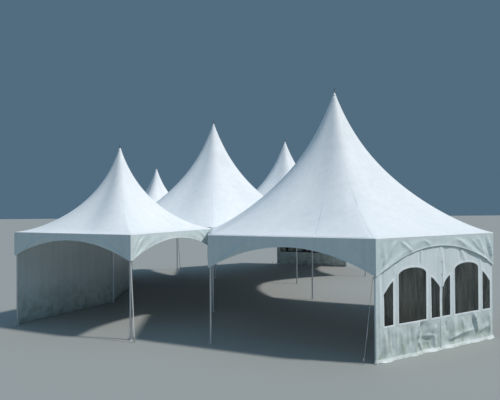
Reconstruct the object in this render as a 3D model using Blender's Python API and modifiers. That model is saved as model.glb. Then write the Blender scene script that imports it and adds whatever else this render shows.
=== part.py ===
"""Connected frame marquee: three hexagonal bays and two square bays under five peaked covers.

Metres, +Z up, ground at z = 0. The bays lie mirrored about the plane y = 0, and the camera side is -Y.
"""
import math

import bmesh
import bpy
from mathutils import Matrix, Quaternion, Vector

# Driving dimensions of the layout
SIDE = 4.20                    # every side of every bay, leg axis to leg axis
EAVE_HEIGHT = 2.74             # ground to the top of the corner fittings
HEX_PEAK_RISE = 3.97           # eave to the top of a hexagonal cover
SQUARE_PEAK_RISE = 2.48        # eave to the top of a square cover

# Frame of round aluminium tube
TUBE_RADIUS = 0.0255
FITTING_WALL = 0.0195          # metal round the tube in the fittings that join legs and eave tubes
FITTING_HEIGHT = 0.11
TUBE_SINK = 0.002              # top of a fitting to the top of its tubes
TUBE_CLEAR = 0.002             # how much further out than its own radius a tube ends inside its fitting
PLATE_RADIUS = 0.075           # foot plates
PLATE_THICKNESS = 0.008
LUG_LENGTH = 0.030             # strap lugs on four legs
LUG_WIDTH = 0.014
LUG_HEIGHT = 0.040
LUG_BITE = 0.004               # how deep a lug is set into its leg

# Masts and the cables that carry them
MAST_RADIUS = 0.030
HUB_RADIUS = 0.050
HUB_HEIGHT = 0.100
HUB_DROP = 0.32                # eave to the middle of the hub
CABLE_SEAT = 0.6               # where a cable starts inside the hub, as a share of the hub's radius
CABLE_RADIUS = 0.005
CABLE_DROP = 0.080             # eave to a cable's end at the corner fitting
CAP_RADIUS = 0.058
CAP_HEIGHT = 0.030
SPIRE_RADIUS = 0.022
SPIRE_TIP_RADIUS = 0.003
SPIRE_SEAT = 0.005             # how deep the spire is set into the cap
HEX_SPIRE_HEIGHT = 0.25
SQUARE_SPIRE_HEIGHT = 0.18

# Covers
COVER_THICKNESS = 0.006
COLLAR_RADIUS = 0.047          # hole of the cover round the mast
CURVE_POWER = 1.29             # how hollow the slope of a hexagonal cover is
SQUARE_CURVE_POWER = 1.53      # how hollow the slope of a square cover is
TIP_SHARE = 0.35               # share of the rise taken by the steep upper part
TIP_LENGTH = 0.222             # how fast the steep part dies away, as a share of the slope
RIDGE_POWER = 0.48             # how soon the round top widens to the ridges; 0 is at once
SEAM_HALF = 0.006              # half the gap between two covers over a shared tube
COVER_RINGS = (0.0, 0.02, 0.055, 0.12, 0.22, 0.34, 0.48, 0.64, 0.80, 0.90, 0.96, 1.0)
GUTTER_HALF_WIDTH = 0.090
GUTTER_LIFT = 0.004            # gutter's edges above the slope of the covers
GUTTER_THICKNESS = 0.005
GUTTER_END = 0.140             # how far a gutter stops before an outer leg

# Valances
VALANCE_THICKNESS = 0.006
VALANCE_STEPS = 12             # pieces of the arch on each side
HEX_CORNER_DROP = 0.82
HEX_CROWN_DROP = 0.24
SQUARE_CORNER_DROP = 0.68
SQUARE_CROWN_DROP = 0.19

# Walls
WALL_THICKNESS = 0.006
WALL_TOP_DROP = 0.005          # eave to the top of a wall
WALL_END_CLEAR = 0.014         # wall end to the leg axis at an inward corner
WALL_LAP = 0.028               # how far a wall runs past the leg axis at an outward corner
PANEL_CENTRES = (1.17, 3.15)   # middle of each window panel from the outer front corner
WINDOW_WIDTH = 0.94
WINDOW_SILL = 0.79
WINDOW_SPRING = 1.88
WINDOW_CROWN = 2.035
HALF_LIGHT_NEAR = 0.64         # half light's edge beside the window, from the panel's middle
HALF_LIGHT_FAR = 0.95
HALF_LIGHT_HIGH = 1.77
HALF_LIGHT_LOW = 1.49
ARCH_STEPS = 8
SHEET_THICKNESS = 0.003
SHEET_MARGIN = 0.06            # clear sheet past the outermost window edges

# Ground stays
STRAP_WIDTH = 0.025
STRAP_THICKNESS = 0.004
STAKE_RADIUS = 0.0125
STAKE_HEIGHT = 0.14
STAKE_GRIP = 0.10              # height of the strap's end on the stake
SQUARE_STAY_REACH = 0.35       # leg axis to stake
SQUARE_STAY_HEADING = -65.0
HEX_STAY_REACH = 0.28
HEX_STAY_HEADING = -175.0
STAY_HEAD_BELOW = 0.040        # valance foot to the lug's middle

GAP = 0.0003                   # clearance between touching pieces
TUBE_STEPS = 12                # facets round the tubes, and below round the other round pieces
FITTING_STEPS = 24
HUB_STEPS = 16
SPIRE_STEPS = 8
CABLE_STEPS = 6
COVER_STEPS = 24               # pieces of a cover's outline

# Values that follow from the driving dimensions
FITTING_RADIUS = TUBE_RADIUS + FITTING_WALL
FRAME_AXIS = EAVE_HEIGHT - TUBE_SINK - TUBE_RADIUS
LEG_TOP = EAVE_HEIGHT - FITTING_HEIGHT - GAP
WALL_IN = TUBE_RADIUS + GAP
WALL_BOTTOM = PLATE_THICKNESS + GAP
VALANCE_IN = FITTING_RADIUS + GAP
VALANCE_OUT = VALANCE_IN + VALANCE_THICKNESS
COVER_BASE = EAVE_HEIGHT + GAP
WEDGE_HALF = math.radians(15.0)                     # half the gap angle beside a shared front leg
WEDGE_FITTING_RADIUS = WALL_IN / math.sin(WEDGE_HALF) + TUBE_SINK / 2

# The origin is under the middle of the whole outline, which ends at the outer foot plates
RIGHT_REACH = math.sqrt(3) * SIDE + PLATE_RADIUS
LEFT_REACH = (math.sqrt(3) / 2 + 0.5) * SIDE / 2 + PLATE_RADIUS
LEFT_REACH += SIDE / math.sqrt(2) * math.cos(math.radians(15.0))
SHIFT = Vector((-(RIGHT_REACH - LEFT_REACH) / 2, 0.0))


def direction(degrees):
    angle = math.radians(degrees)
    return Vector((math.cos(angle), math.sin(angle)))


# Bays: number of sides, middle, heading of each side, and the headings of the sides shared with a neighbour
APOTHEM = {6: SIDE * math.sqrt(3) / 2, 4: SIDE / 2}
CORNER_RADIUS = {6: SIDE, 4: SIDE / math.sqrt(2)}
SQUARE_REACH = APOTHEM[6] + APOTHEM[4]
BAYS = {
    "centre": {"sides": 6, "middle": SHIFT, "first": 0, "shared": (60, 120, 240, 300)},
    "front_right": {"sides": 6, "middle": SHIFT + 2 * APOTHEM[6] * direction(-60), "first": 0,
                    "shared": (120,), "wedge": direction(165)},
    "back_right": {"sides": 6, "middle": SHIFT + 2 * APOTHEM[6] * direction(60), "first": 0,
                   "shared": (240,), "wedge": direction(-165)},
    "front_left": {"sides": 4, "middle": SHIFT + SQUARE_REACH * direction(-120), "first": 60,
                   "shared": (60,), "wedge": direction(-15)},
    "back_left": {"sides": 4, "middle": SHIFT + SQUARE_REACH * direction(120), "first": 30,
                  "shared": (300,), "wedge": direction(15)},
}
for bay_name, bay in BAYS.items():
    step = 360 // bay["sides"]
    bay["name"] = bay_name
    bay["headings"] = [(bay["first"] + step * k) % 360 for k in range(bay["sides"])]
    bay["rise"] = HEX_PEAK_RISE if bay["sides"] == 6 else SQUARE_PEAK_RISE
    bay["power"] = CURVE_POWER if bay["sides"] == 6 else SQUARE_CURVE_POWER
    bay["spire"] = HEX_SPIRE_HEIGHT if bay["sides"] == 6 else SQUARE_SPIRE_HEIGHT
    bay["corner_drop"] = HEX_CORNER_DROP if bay["sides"] == 6 else SQUARE_CORNER_DROP
    bay["crown_drop"] = HEX_CROWN_DROP if bay["sides"] == 6 else SQUARE_CROWN_DROP
    bay["corners"] = [bay["middle"] + CORNER_RADIUS[bay["sides"]] * direction(heading + step / 2)
                      for heading in bay["headings"]]
FRONT_WEDGE = SHIFT + SIDE * direction(-90)
BACK_WEDGE = SHIFT + SIDE * direction(90)

# Scene
for old in list(bpy.data.objects):
    bpy.data.objects.remove(old, do_unlink=True)
marquee = bpy.data.collections.new("frame_marquee")
bpy.context.scene.collection.children.link(marquee)


def make_material(name, colour, roughness, metallic=0.0, alpha=1.0):
    material = bpy.data.materials.new(name)
    material.use_nodes = True
    shader = material.node_tree.nodes["Principled BSDF"]
    shader.inputs["Base Color"].default_value = (*colour, 1.0)
    shader.inputs["Roughness"].default_value = roughness
    shader.inputs["Metallic"].default_value = metallic
    shader.inputs["Alpha"].default_value = alpha
    material.diffuse_color = (*colour, alpha)
    return material


ALUMINIUM = make_material("mill_aluminium", (0.72, 0.73, 0.74), 0.38, 1.0)
WHITE_CLOTH = make_material("white_coated_cloth", (0.88, 0.90, 0.91), 0.45)
CLEAR_SHEET = make_material("clear_vinyl", (0.80, 0.84, 0.84), 0.08, 0.0, 0.35)
WEBBING = make_material("pale_webbing", (0.62, 0.64, 0.62), 0.8)


def finish(obj, material, smooth_degrees=30.0):
    """Move an object into the marquee's collection and give it its material."""
    for owner in list(obj.users_collection):
        owner.objects.unlink(obj)
    marquee.objects.link(obj)
    obj.data.materials.clear()
    obj.data.materials.append(material)
    if obj.type == "MESH":
        obj.data.shade_smooth()
        obj.data.set_sharp_from_angle(angle=math.radians(smooth_degrees))
    return obj


def cylinder_between(name, start, end, radius, steps=TUBE_STEPS, end_radius=None, turn=0.0):
    """A rod from start to end, turned about its own axis, or a cone when end_radius differs."""
    start = Vector(start)
    end = Vector(end)
    far = radius if end_radius is None else end_radius
    bpy.ops.mesh.primitive_cone_add(vertices=steps, radius1=radius, radius2=far,
                                    depth=(end - start).length)
    obj = bpy.context.object
    obj.name = name
    obj.rotation_mode = "QUATERNION"
    obj.rotation_quaternion = (end - start).to_track_quat("Z", "Y") @ Quaternion((0.0, 0.0, 1.0), turn)
    obj.location = (start + end) / 2
    return obj


def box_at(name, middle, size, heading=0.0):
    bpy.ops.mesh.primitive_cube_add(size=1.0)
    obj = bpy.context.object
    obj.name = name
    obj.dimensions = size
    obj.location = middle
    obj.rotation_euler = (0.0, 0.0, math.radians(heading))
    return obj


def join_solids(body, others):
    """Fuse overlapping solids into the first one."""
    for other in others:
        union = body.modifiers.new("join", "BOOLEAN")
        union.operation = "UNION"
        union.solver = "EXACT"
        union.object = other
    bpy.context.view_layer.update()
    evaluated = body.evaluated_get(bpy.context.evaluated_depsgraph_get())
    fused = bpy.data.meshes.new_from_object(evaluated)
    body.modifiers.clear()
    body.data = fused
    for other in others:
        bpy.data.objects.remove(other, do_unlink=True)
    return body


def polygon_corners(constraints):
    """Corners of the convex outline where p . normal <= reach, in order round the middle."""
    ordered = sorted(constraints, key=lambda item: math.atan2(item[0].y, item[0].x))
    corners = []
    for index, (normal, reach) in enumerate(ordered):
        next_normal, next_reach = ordered[(index + 1) % len(ordered)]
        cross = normal.x * next_normal.y - normal.y * next_normal.x
        x = (reach * next_normal.y - next_reach * normal.y) / cross
        y = (normal.x * next_reach - next_normal.x * reach) / cross
        corners.append(Vector((x, y)))
    return [normal for normal, reach in ordered], corners


def cover_outline(bay):
    """Outline of a bay's cover about its middle: the side normals and the corner after each side."""
    constraints = []
    for heading in bay["headings"]:
        overhang = -SEAM_HALF if heading in bay["shared"] else VALANCE_OUT
        constraints.append((direction(heading), APOTHEM[bay["sides"]] + overhang))
    if "wedge" in bay:
        wedge_leg = FRONT_WEDGE if bay["name"].startswith("front") else BACK_WEDGE
        constraints.append((bay["wedge"], bay["wedge"].dot(wedge_leg - bay["middle"]) - SEAM_HALF))
    return polygon_corners(constraints)


def spread(start, end, steps):
    """Points from start up to but not including end."""
    return [start.lerp(end, index / steps) for index in range(steps)]


def slope_height(bay, share):
    """Height above the eave at a share of the way from the mast (0) to the eave (1)."""
    hollow = (1.0 - TIP_SHARE) * (1.0 - share) ** bay["power"]
    rest = math.exp(-1.0 / TIP_LENGTH)
    tip = TIP_SHARE * (math.exp(-share / TIP_LENGTH) - rest) / (1.0 - rest)
    return bay["rise"] * (hollow + tip)


def solid_sheet(name, vertices, faces, thickness, offset):
    """An open surface thickened by a Solidify modifier."""
    mesh = bpy.data.meshes.new(name)
    mesh.from_pydata(vertices, [], faces)
    mesh.validate()
    obj = bpy.data.objects.new(name, mesh)
    bpy.context.scene.collection.objects.link(obj)
    solid = obj.modifiers.new("thickness", "SOLIDIFY")
    solid.thickness = thickness
    solid.offset = offset
    solid.use_even_offset = True
    return obj


def make_cover(bay):
    """Peaked cover: round at the mast, with the bay's own outline at the eave."""
    normals, corners = cover_outline(bay)
    longest = max((corners[i] - corners[i - 1]).length for i in range(len(corners)))
    outline = []
    for index, corner in enumerate(corners):
        following = corners[(index + 1) % len(corners)]
        steps = max(1, round(COVER_STEPS / bay["sides"] * (following - corner).length / longest))
        outline.extend(spread(corner, following, steps))
    vertices = []
    for share in COVER_RINGS:
        height = COVER_BASE + slope_height(bay, share)
        for point in outline:
            round_reach = COLLAR_RADIUS + share * (APOTHEM[bay["sides"]] - COLLAR_RADIUS)
            flat_reach = COLLAR_RADIUS + share * (point.length - COLLAR_RADIUS)
            reach = round_reach + (flat_reach - round_reach) * share ** RIDGE_POWER
            place = bay["middle"] + point.normalized() * reach
            vertices.append((place.x, place.y, height))
    count = len(outline)
    faces = []
    for ring in range(len(COVER_RINGS) - 1):
        for index in range(count):
            after = (index + 1) % count
            inner = ring * count
            outer = inner + count
            faces.append((inner + index, outer + index, outer + after, inner + after))
    cover = solid_sheet("cover_" + bay["name"], vertices, faces, COVER_THICKNESS, 1.0)
    finish(cover, WHITE_CLOTH, 50.0)


def make_leg(name, corner, lug_heading=None, lug_middle=0.0):
    """Leg tube on its foot plate, with a strap lug where a stay is tied."""
    profile = [(0.0, LEG_TOP), (TUBE_RADIUS, LEG_TOP), (TUBE_RADIUS, PLATE_THICKNESS),
               (PLATE_RADIUS, PLATE_THICKNESS), (PLATE_RADIUS, 0.0), (0.0, 0.0)]
    mesh = bpy.data.meshes.new(name)
    edges = [(index, index + 1) for index in range(len(profile) - 1)]
    mesh.from_pydata([(radius, 0.0, height) for radius, height in profile], edges, [])
    leg = bpy.data.objects.new(name, mesh)
    bpy.context.scene.collection.objects.link(leg)
    leg.location = (corner.x, corner.y, 0.0)
    screw = leg.modifiers.new("turn", "SCREW")
    screw.steps = TUBE_STEPS
    screw.render_steps = TUBE_STEPS
    screw.use_merge_vertices = True
    screw.merge_threshold = 0.0001
    if lug_heading is not None:
        middle = corner + (TUBE_RADIUS + (LUG_LENGTH - LUG_BITE) / 2) * direction(lug_heading)
        lug = box_at("lug", (middle.x, middle.y, lug_middle),
                     (LUG_LENGTH + LUG_BITE, LUG_WIDTH, LUG_HEIGHT), lug_heading)
        bpy.context.view_layer.update()
        join_solids(leg, [lug])
    finish(leg, ALUMINIUM)


def weld_mesh(mesh):
    work = bmesh.new()
    work.from_mesh(mesh)
    bmesh.ops.remove_doubles(work, verts=work.verts, dist=0.00005)
    bmesh.ops.recalc_face_normals(work, faces=work.faces)
    work.to_mesh(mesh)
    work.free()


def same_place(one, other):
    return (one - other).length < PLATE_RADIUS


def fitting_radius(corner):
    """The two legs where two free sides meet at 30 degrees carry a wider fitting."""
    at_wedge = same_place(corner, FRONT_WEDGE) or same_place(corner, BACK_WEDGE)
    return WEDGE_FITTING_RADIUS if at_wedge else FITTING_RADIUS


def make_fitting(corner):
    low = (corner.x, corner.y, EAVE_HEIGHT - FITTING_HEIGHT)
    high = (corner.x, corner.y, EAVE_HEIGHT)
    return cylinder_between("fitting", low, high, fitting_radius(corner), FITTING_STEPS)


def make_eave_frame(bay, own_corners):
    """Eave tubes round a bay, set into the corner fittings that belong to it.

    Where a corner belongs to the middle bay, the tube ends just short of that bay's fitting.
    """
    corners = bay["corners"]
    pieces = [make_fitting(corners[index]) for index in own_corners]
    for index, corner in enumerate(corners):
        before = index - 1 if index else len(corners) - 1
        if index not in own_corners and before not in own_corners:
            continue
        along = (corner - corners[before]).normalized()
        ends = []
        for place, own in ((before, before in own_corners), (index, index in own_corners)):
            reach = TUBE_RADIUS + TUBE_CLEAR if own else fitting_radius(corners[place]) + GAP
            point = corners[place] + along * (reach if place == before else -reach)
            ends.append((point.x, point.y, FRAME_AXIS))
        # With a flat on top, no edge of the tube runs into an edge of its fitting
        pieces.append(cylinder_between("tube", ends[0], ends[1], TUBE_RADIUS, turn=math.pi / TUBE_STEPS))
    frame = pieces[0]
    frame.name = "eave_frame_" + bay["name"]
    join_solids(frame, pieces[1:])
    finish(frame, ALUMINIUM)


def make_mast(bay):
    """Mast on its hub, the cables from the hub to every corner fitting, the cap and the spire."""
    middle = bay["middle"]
    hub_z = EAVE_HEIGHT - HUB_DROP
    peak = COVER_BASE + bay["rise"]
    cap_low = peak + COVER_THICKNESS + GAP
    cap_high = cap_low + CAP_HEIGHT

    def at(height):
        return (middle.x, middle.y, height)

    hub = cylinder_between("mast_" + bay["name"], at(hub_z - HUB_HEIGHT / 2), at(hub_z + HUB_HEIGHT / 2),
                           HUB_RADIUS, HUB_STEPS)
    pieces = [cylinder_between("tube", at(hub_z), at(cap_low + CAP_HEIGHT / 2), MAST_RADIUS),
              cylinder_between("cap", at(cap_low), at(cap_high), CAP_RADIUS, HUB_STEPS),
              cylinder_between("spire", at(cap_high - SPIRE_SEAT), at(cap_high + bay["spire"]),
                               SPIRE_RADIUS, SPIRE_STEPS, SPIRE_TIP_RADIUS)]
    for corner in bay["corners"]:
        outward = (corner - middle).normalized()
        start = middle + outward * (HUB_RADIUS * CABLE_SEAT)
        end = corner - outward * (fitting_radius(corner) + 2 * GAP)
        pieces.append(cylinder_between("cable", (start.x, start.y, hub_z),
                                       (end.x, end.y, EAVE_HEIGHT - CABLE_DROP), CABLE_RADIUS, CABLE_STEPS))
    join_solids(hub, pieces)
    finish(hub, ALUMINIUM)


def arch_drop(bay, heading, point):
    """How far the valance hangs below the eave at a point on one side."""
    along = direction(heading + 90).dot(point - bay["middle"])
    share = min(1.0, abs(along) / (SIDE / 2))
    return bay["crown_drop"] + (bay["corner_drop"] - bay["crown_drop"]) * share ** 2


def make_valance(bay, name, free_headings):
    """Valance hung round neighbouring free sides, with an arch over each side."""
    normals, corners = cover_outline(bay)
    headings = [round(math.degrees(math.atan2(normal.y, normal.x))) % 360 for normal in normals]
    run = []
    for heading in free_headings:
        index = headings.index(heading)
        start = corners[index - 1]
        end = corners[index]
        for point in spread(start, end, VALANCE_STEPS):
            run.append((bay["middle"] + point, heading))
    run.append((bay["middle"] + end, free_headings[-1]))
    vertices = [(point.x, point.y, EAVE_HEIGHT) for point, heading in run]
    vertices += [(point.x, point.y, EAVE_HEIGHT - arch_drop(bay, heading, point)) for point, heading in run]
    count = len(run)
    faces = [(index, index + count, index + count + 1, index + 1) for index in range(count - 1)]
    valance = solid_sheet("valance_" + name, vertices, faces, VALANCE_THICKNESS, -1.0)
    finish(valance, WHITE_CLOTH, 20.0)


def flat_panel(name, outlines, bay, heading, inner, thickness):
    """A flat sheet standing on one side of a bay: x along the side from its first corner, y up."""
    curve = bpy.data.curves.new(name, "CURVE")
    curve.dimensions = "2D"
    curve.fill_mode = "BOTH"
    curve.extrude = thickness / 2
    for outline in outlines:
        spline = curve.splines.new("POLY")
        spline.points.add(len(outline) - 1)
        for target, (x, y) in zip(spline.points, outline):
            target.co = (x - SIDE / 2, y, 0.0, 1.0)
        spline.use_cyclic_u = True
    panel = bpy.data.objects.new(name, curve)
    bpy.context.scene.collection.objects.link(panel)
    place = bay["middle"] + direction(heading) * (APOTHEM[bay["sides"]] + inner + thickness / 2)
    panel.location = (place.x, place.y, 0.0)
    panel.rotation_euler = (math.pi / 2, 0.0, math.radians(heading + 90))
    return panel


def wall_outline(start_over, end_over):
    """Wall with its top corners cut round the fittings; an overlap is how far an end passes its leg."""
    notch = FITTING_RADIUS + GAP
    notch_low = LEG_TOP
    top = EAVE_HEIGHT - WALL_TOP_DROP
    end = SIDE + end_over
    return [(-start_over, WALL_BOTTOM), (end, WALL_BOTTOM), (end, notch_low),
            (SIDE - notch, notch_low), (SIDE - notch, top), (notch, top), (notch, notch_low),
            (-start_over, notch_low)]


def window_outline(middle):
    """Window with a low arched head."""
    half = WINDOW_WIDTH / 2
    points = [(middle - half, WINDOW_SILL), (middle + half, WINDOW_SILL)]
    for step in range(ARCH_STEPS + 1):
        angle = math.pi * step / ARCH_STEPS
        points.append((middle + half * math.cos(angle),
                       WINDOW_SPRING + (WINDOW_CROWN - WINDOW_SPRING) * math.sin(angle)))
    return points


def half_light_outline(middle, hand):
    """Half light beside a window; hand is -1 before the window and +1 after it."""
    near = middle + hand * HALF_LIGHT_NEAR
    far = middle + hand * HALF_LIGHT_FAR
    points = [(near, WINDOW_SILL), (near, HALF_LIGHT_HIGH)]
    for step in range(1, 4):
        share = step / 4
        points.append((near + (far - near) * share,
                       HALF_LIGHT_HIGH - (HALF_LIGHT_HIGH - HALF_LIGHT_LOW) * share ** 1.4))
    points += [(far, HALF_LIGHT_LOW), (far, WINDOW_SILL)]
    return points


def make_solid_wall(bay, heading, start_over, end_over):
    wall = flat_panel("wall_" + bay["name"], [wall_outline(start_over, end_over)], bay, heading,
                      WALL_IN, WALL_THICKNESS)
    finish(wall, WHITE_CLOTH)


def make_window_wall(bay, heading, centres):
    """Two window panels laced into one wall, and the clear sheet behind their windows."""
    outlines = [wall_outline(WALL_LAP, WALL_LAP)]
    for middle in centres:
        outlines.append(window_outline(middle))
        outlines.append(half_light_outline(middle, -1))
        outlines.append(half_light_outline(middle, 1))
    wall = flat_panel("window_wall_" + bay["name"], outlines, bay, heading, WALL_IN, WALL_THICKNESS)
    finish(wall, WHITE_CLOTH)
    left = min(centres) - HALF_LIGHT_FAR - SHEET_MARGIN
    right = max(centres) + HALF_LIGHT_FAR + SHEET_MARGIN
    low = WINDOW_SILL - SHEET_MARGIN
    high = WINDOW_CROWN + SHEET_MARGIN
    rectangle = [(left, low), (right, low), (right, high), (left, high)]
    sheet = flat_panel("window_sheet_" + bay["name"], [rectangle], bay, heading,
                       WALL_IN - GAP - SHEET_THICKNESS, SHEET_THICKNESS)
    finish(sheet, CLEAR_SHEET)


def make_stay(name, corner, heading, reach, head_z):
    """Flat strap from the leg's lug down to a steel stake in the ground."""
    head = corner + (TUBE_RADIUS + LUG_LENGTH + GAP + STRAP_THICKNESS / 2) * direction(heading)
    foot = corner + reach * direction(heading)
    start = Vector((head.x, head.y, head_z))
    end = Vector((foot.x, foot.y, STAKE_GRIP))
    stake = cylinder_between("stay_" + name, (foot.x, foot.y, 0.0), (foot.x, foot.y, STAKE_HEIGHT),
                             STAKE_RADIUS, TUBE_STEPS)
    strap = box_at("strap", (0.0, 0.0, 0.0), (1.0, STRAP_WIDTH, STRAP_THICKNESS))
    run = end - start
    side = direction(heading + 90)
    across = Vector((side.x, side.y, 0.0))
    normal = run.normalized().cross(across)
    strap.scale = (run.length, STRAP_WIDTH, STRAP_THICKNESS)
    strap.rotation_mode = "QUATERNION"
    turn = Matrix((run.normalized(), across, normal)).transposed()
    strap.rotation_quaternion = turn.to_quaternion()
    strap.location = (start + end) / 2
    bpy.context.view_layer.update()
    join_solids(stake, [strap])
    finish(stake, WEBBING)


def make_gutter(name, wedge_corner, outer_corners):
    """Rain gutter strips laced over the seams from a shared front leg to the next legs."""
    strips = []
    for corner in outer_corners:
        along = (corner - wedge_corner).normalized()
        across = Vector((-along.y, along.x))
        slopes = [slope_height(bay, 1.0 - GUTTER_HALF_WIDTH / (APOTHEM[bay["sides"]] - COLLAR_RADIUS))
                  for bay in BAYS.values()]
        rise = max(slopes) + GUTTER_LIFT
        base = COVER_BASE + COVER_THICKNESS + 2 * GAP
        profile = [(-GUTTER_HALF_WIDTH, base + rise), (-SEAM_HALF, base), (SEAM_HALF, base),
                   (GUTTER_HALF_WIDTH, base + rise),
                   (GUTTER_HALF_WIDTH, base + rise + GUTTER_THICKNESS),
                   (SEAM_HALF, base + GUTTER_THICKNESS), (-SEAM_HALF, base + GUTTER_THICKNESS),
                   (-GUTTER_HALF_WIDTH, base + rise + GUTTER_THICKNESS)]
        start = wedge_corner
        end = corner - along * GUTTER_END
        vertices = []
        for place in (start, end):
            for offset, height in profile:
                point = place + across * offset
                vertices.append((point.x, point.y, height))
        count = len(profile)
        faces = [tuple(range(count))[::-1], tuple(range(count, 2 * count))]
        for index in range(count):
            after = (index + 1) % count
            faces.append((index, after, after + count, index + count))
        mesh = bpy.data.meshes.new(name)
        mesh.from_pydata(vertices, [], faces)
        weld_mesh(mesh)
        strip = bpy.data.objects.new(name, mesh)
        bpy.context.scene.collection.objects.link(strip)
        strips.append(strip)
    join_solids(strips[0], strips[1:])
    finish(strips[0], WHITE_CLOTH)


# Legs stand at every corner once: the centre bay's first, then the others' own corners
standing = []
for bay in BAYS.values():
    own = []
    for index, corner in enumerate(bay["corners"]):
        if not any(same_place(corner, other) for other in standing):
            standing.append(corner)
            own.append(index)
    bay["own"] = own
STAYS = {
    "front_left": (BAYS["front_left"]["corners"][2], SQUARE_STAY_HEADING, SQUARE_STAY_REACH,
                   EAVE_HEIGHT - SQUARE_CORNER_DROP - STAY_HEAD_BELOW),
    "back_left": (BAYS["back_left"]["corners"][0], -SQUARE_STAY_HEADING, SQUARE_STAY_REACH,
                  EAVE_HEIGHT - SQUARE_CORNER_DROP - STAY_HEAD_BELOW),
    "front_right": (BAYS["front_right"]["corners"][4], HEX_STAY_HEADING, HEX_STAY_REACH,
                    EAVE_HEIGHT - HEX_CORNER_DROP - STAY_HEAD_BELOW),
    "back_right": (BAYS["back_right"]["corners"][1], -HEX_STAY_HEADING, HEX_STAY_REACH,
                   EAVE_HEIGHT - HEX_CORNER_DROP - STAY_HEAD_BELOW),
}
for bay in BAYS.values():
    for index in bay["own"]:
        corner = bay["corners"][index]
        stays = [stay for stay in STAYS.values() if same_place(stay[0], corner)]
        leg_name = "leg_" + bay["name"] + "_" + str(index + 1)
        if stays:
            make_leg(leg_name, corner, stays[0][1], stays[0][3])
        else:
            make_leg(leg_name, corner)
    make_eave_frame(bay, bay["own"])
    make_mast(bay)
    make_cover(bay)
for stay_name, stay in STAYS.items():
    make_stay(stay_name, *stay)

make_valance(BAYS["centre"], "centre_right", (0,))
make_valance(BAYS["centre"], "centre_left", (180,))
make_valance(BAYS["front_right"], "front_right", (180, 240, 300, 0, 60))
make_valance(BAYS["back_right"], "back_right", (300, 0, 60, 120, 180))
make_valance(BAYS["front_left"], "front_left", (150, 240, 330))
make_valance(BAYS["back_left"], "back_left", (30, 120, 210))

make_solid_wall(BAYS["centre"], 180, -WALL_END_CLEAR, -WALL_END_CLEAR)
make_solid_wall(BAYS["front_left"], 150, -WALL_END_CLEAR, WALL_LAP)
make_solid_wall(BAYS["back_left"], 210, WALL_LAP, -WALL_END_CLEAR)
make_window_wall(BAYS["front_right"], 300, PANEL_CENTRES)
make_window_wall(BAYS["back_right"], 60, [SIDE - middle for middle in PANEL_CENTRES])

make_gutter("gutter_front", FRONT_WEDGE,
            [BAYS["front_left"]["corners"][0], BAYS["front_right"]["corners"][1]])
make_gutter("gutter_back", BACK_WEDGE,
            [BAYS["back_left"]["corners"][2], BAYS["back_right"]["corners"][4]])
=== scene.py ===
"""Looks of a linked frame marquee: five peaked covers on one frame of legs and eave tubes."""
import math

import bmesh
import bpy
import numpy as np
from mathutils import Matrix, Vector


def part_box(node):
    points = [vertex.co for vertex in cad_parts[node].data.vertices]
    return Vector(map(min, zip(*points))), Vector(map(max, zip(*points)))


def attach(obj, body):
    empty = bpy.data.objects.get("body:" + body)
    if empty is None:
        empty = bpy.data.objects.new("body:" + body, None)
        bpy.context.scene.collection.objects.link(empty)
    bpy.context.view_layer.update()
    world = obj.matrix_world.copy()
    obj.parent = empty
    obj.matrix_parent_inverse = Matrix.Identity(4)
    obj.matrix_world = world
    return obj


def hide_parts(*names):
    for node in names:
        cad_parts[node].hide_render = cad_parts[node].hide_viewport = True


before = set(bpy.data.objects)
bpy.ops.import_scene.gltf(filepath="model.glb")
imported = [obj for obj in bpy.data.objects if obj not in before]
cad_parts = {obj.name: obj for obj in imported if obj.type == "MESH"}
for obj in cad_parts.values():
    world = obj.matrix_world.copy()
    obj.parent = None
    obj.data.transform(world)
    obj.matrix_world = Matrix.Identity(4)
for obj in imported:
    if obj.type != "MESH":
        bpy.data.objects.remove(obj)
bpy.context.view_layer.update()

# Ground plan
# Every leg stands at a corner of one or more bays, and a bay is the ground under one peaked cover.
# The legs are set out first, and all the later pieces are cut to the places that they give.
BAY_LEGS = {
    "centre": ("centre_1", "centre_2", "centre_3", "centre_4", "centre_5", "centre_6"),
    "front_right": ("front_right_1", "centre_6", "centre_5", "front_right_4", "front_right_5",
                    "front_right_6"),
    "back_right": ("back_right_1", "back_right_2", "back_right_3", "centre_2", "centre_1",
                   "back_right_6"),
    "front_left": ("centre_4", "front_left_2", "front_left_3", "centre_5"),
    "back_left": ("back_left_1", "back_left_2", "centre_3", "centre_2"),
}
NARROW_LEGS = ("centre_2", "centre_5")     # where the free sides of two bays meet at 30 degrees
SEAM_HALF = 0.006                          # half the slot between two covers over a shared tube
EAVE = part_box("eave_frame_centre")[1][2]   # top of the corner fittings
PARALLEL = 0.9999                          # cosine of the angle between two lines that count as one
MITRE_STEP = 0.1
UP = Vector((0.0, 0.0, 1.0))

leg_place = {}
for legs in BAY_LEGS.values():
    for leg in legs:
        low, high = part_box("leg_" + leg)
        leg_place[leg] = ((Vector(low) + Vector(high)) / 2).to_2d()

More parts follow.
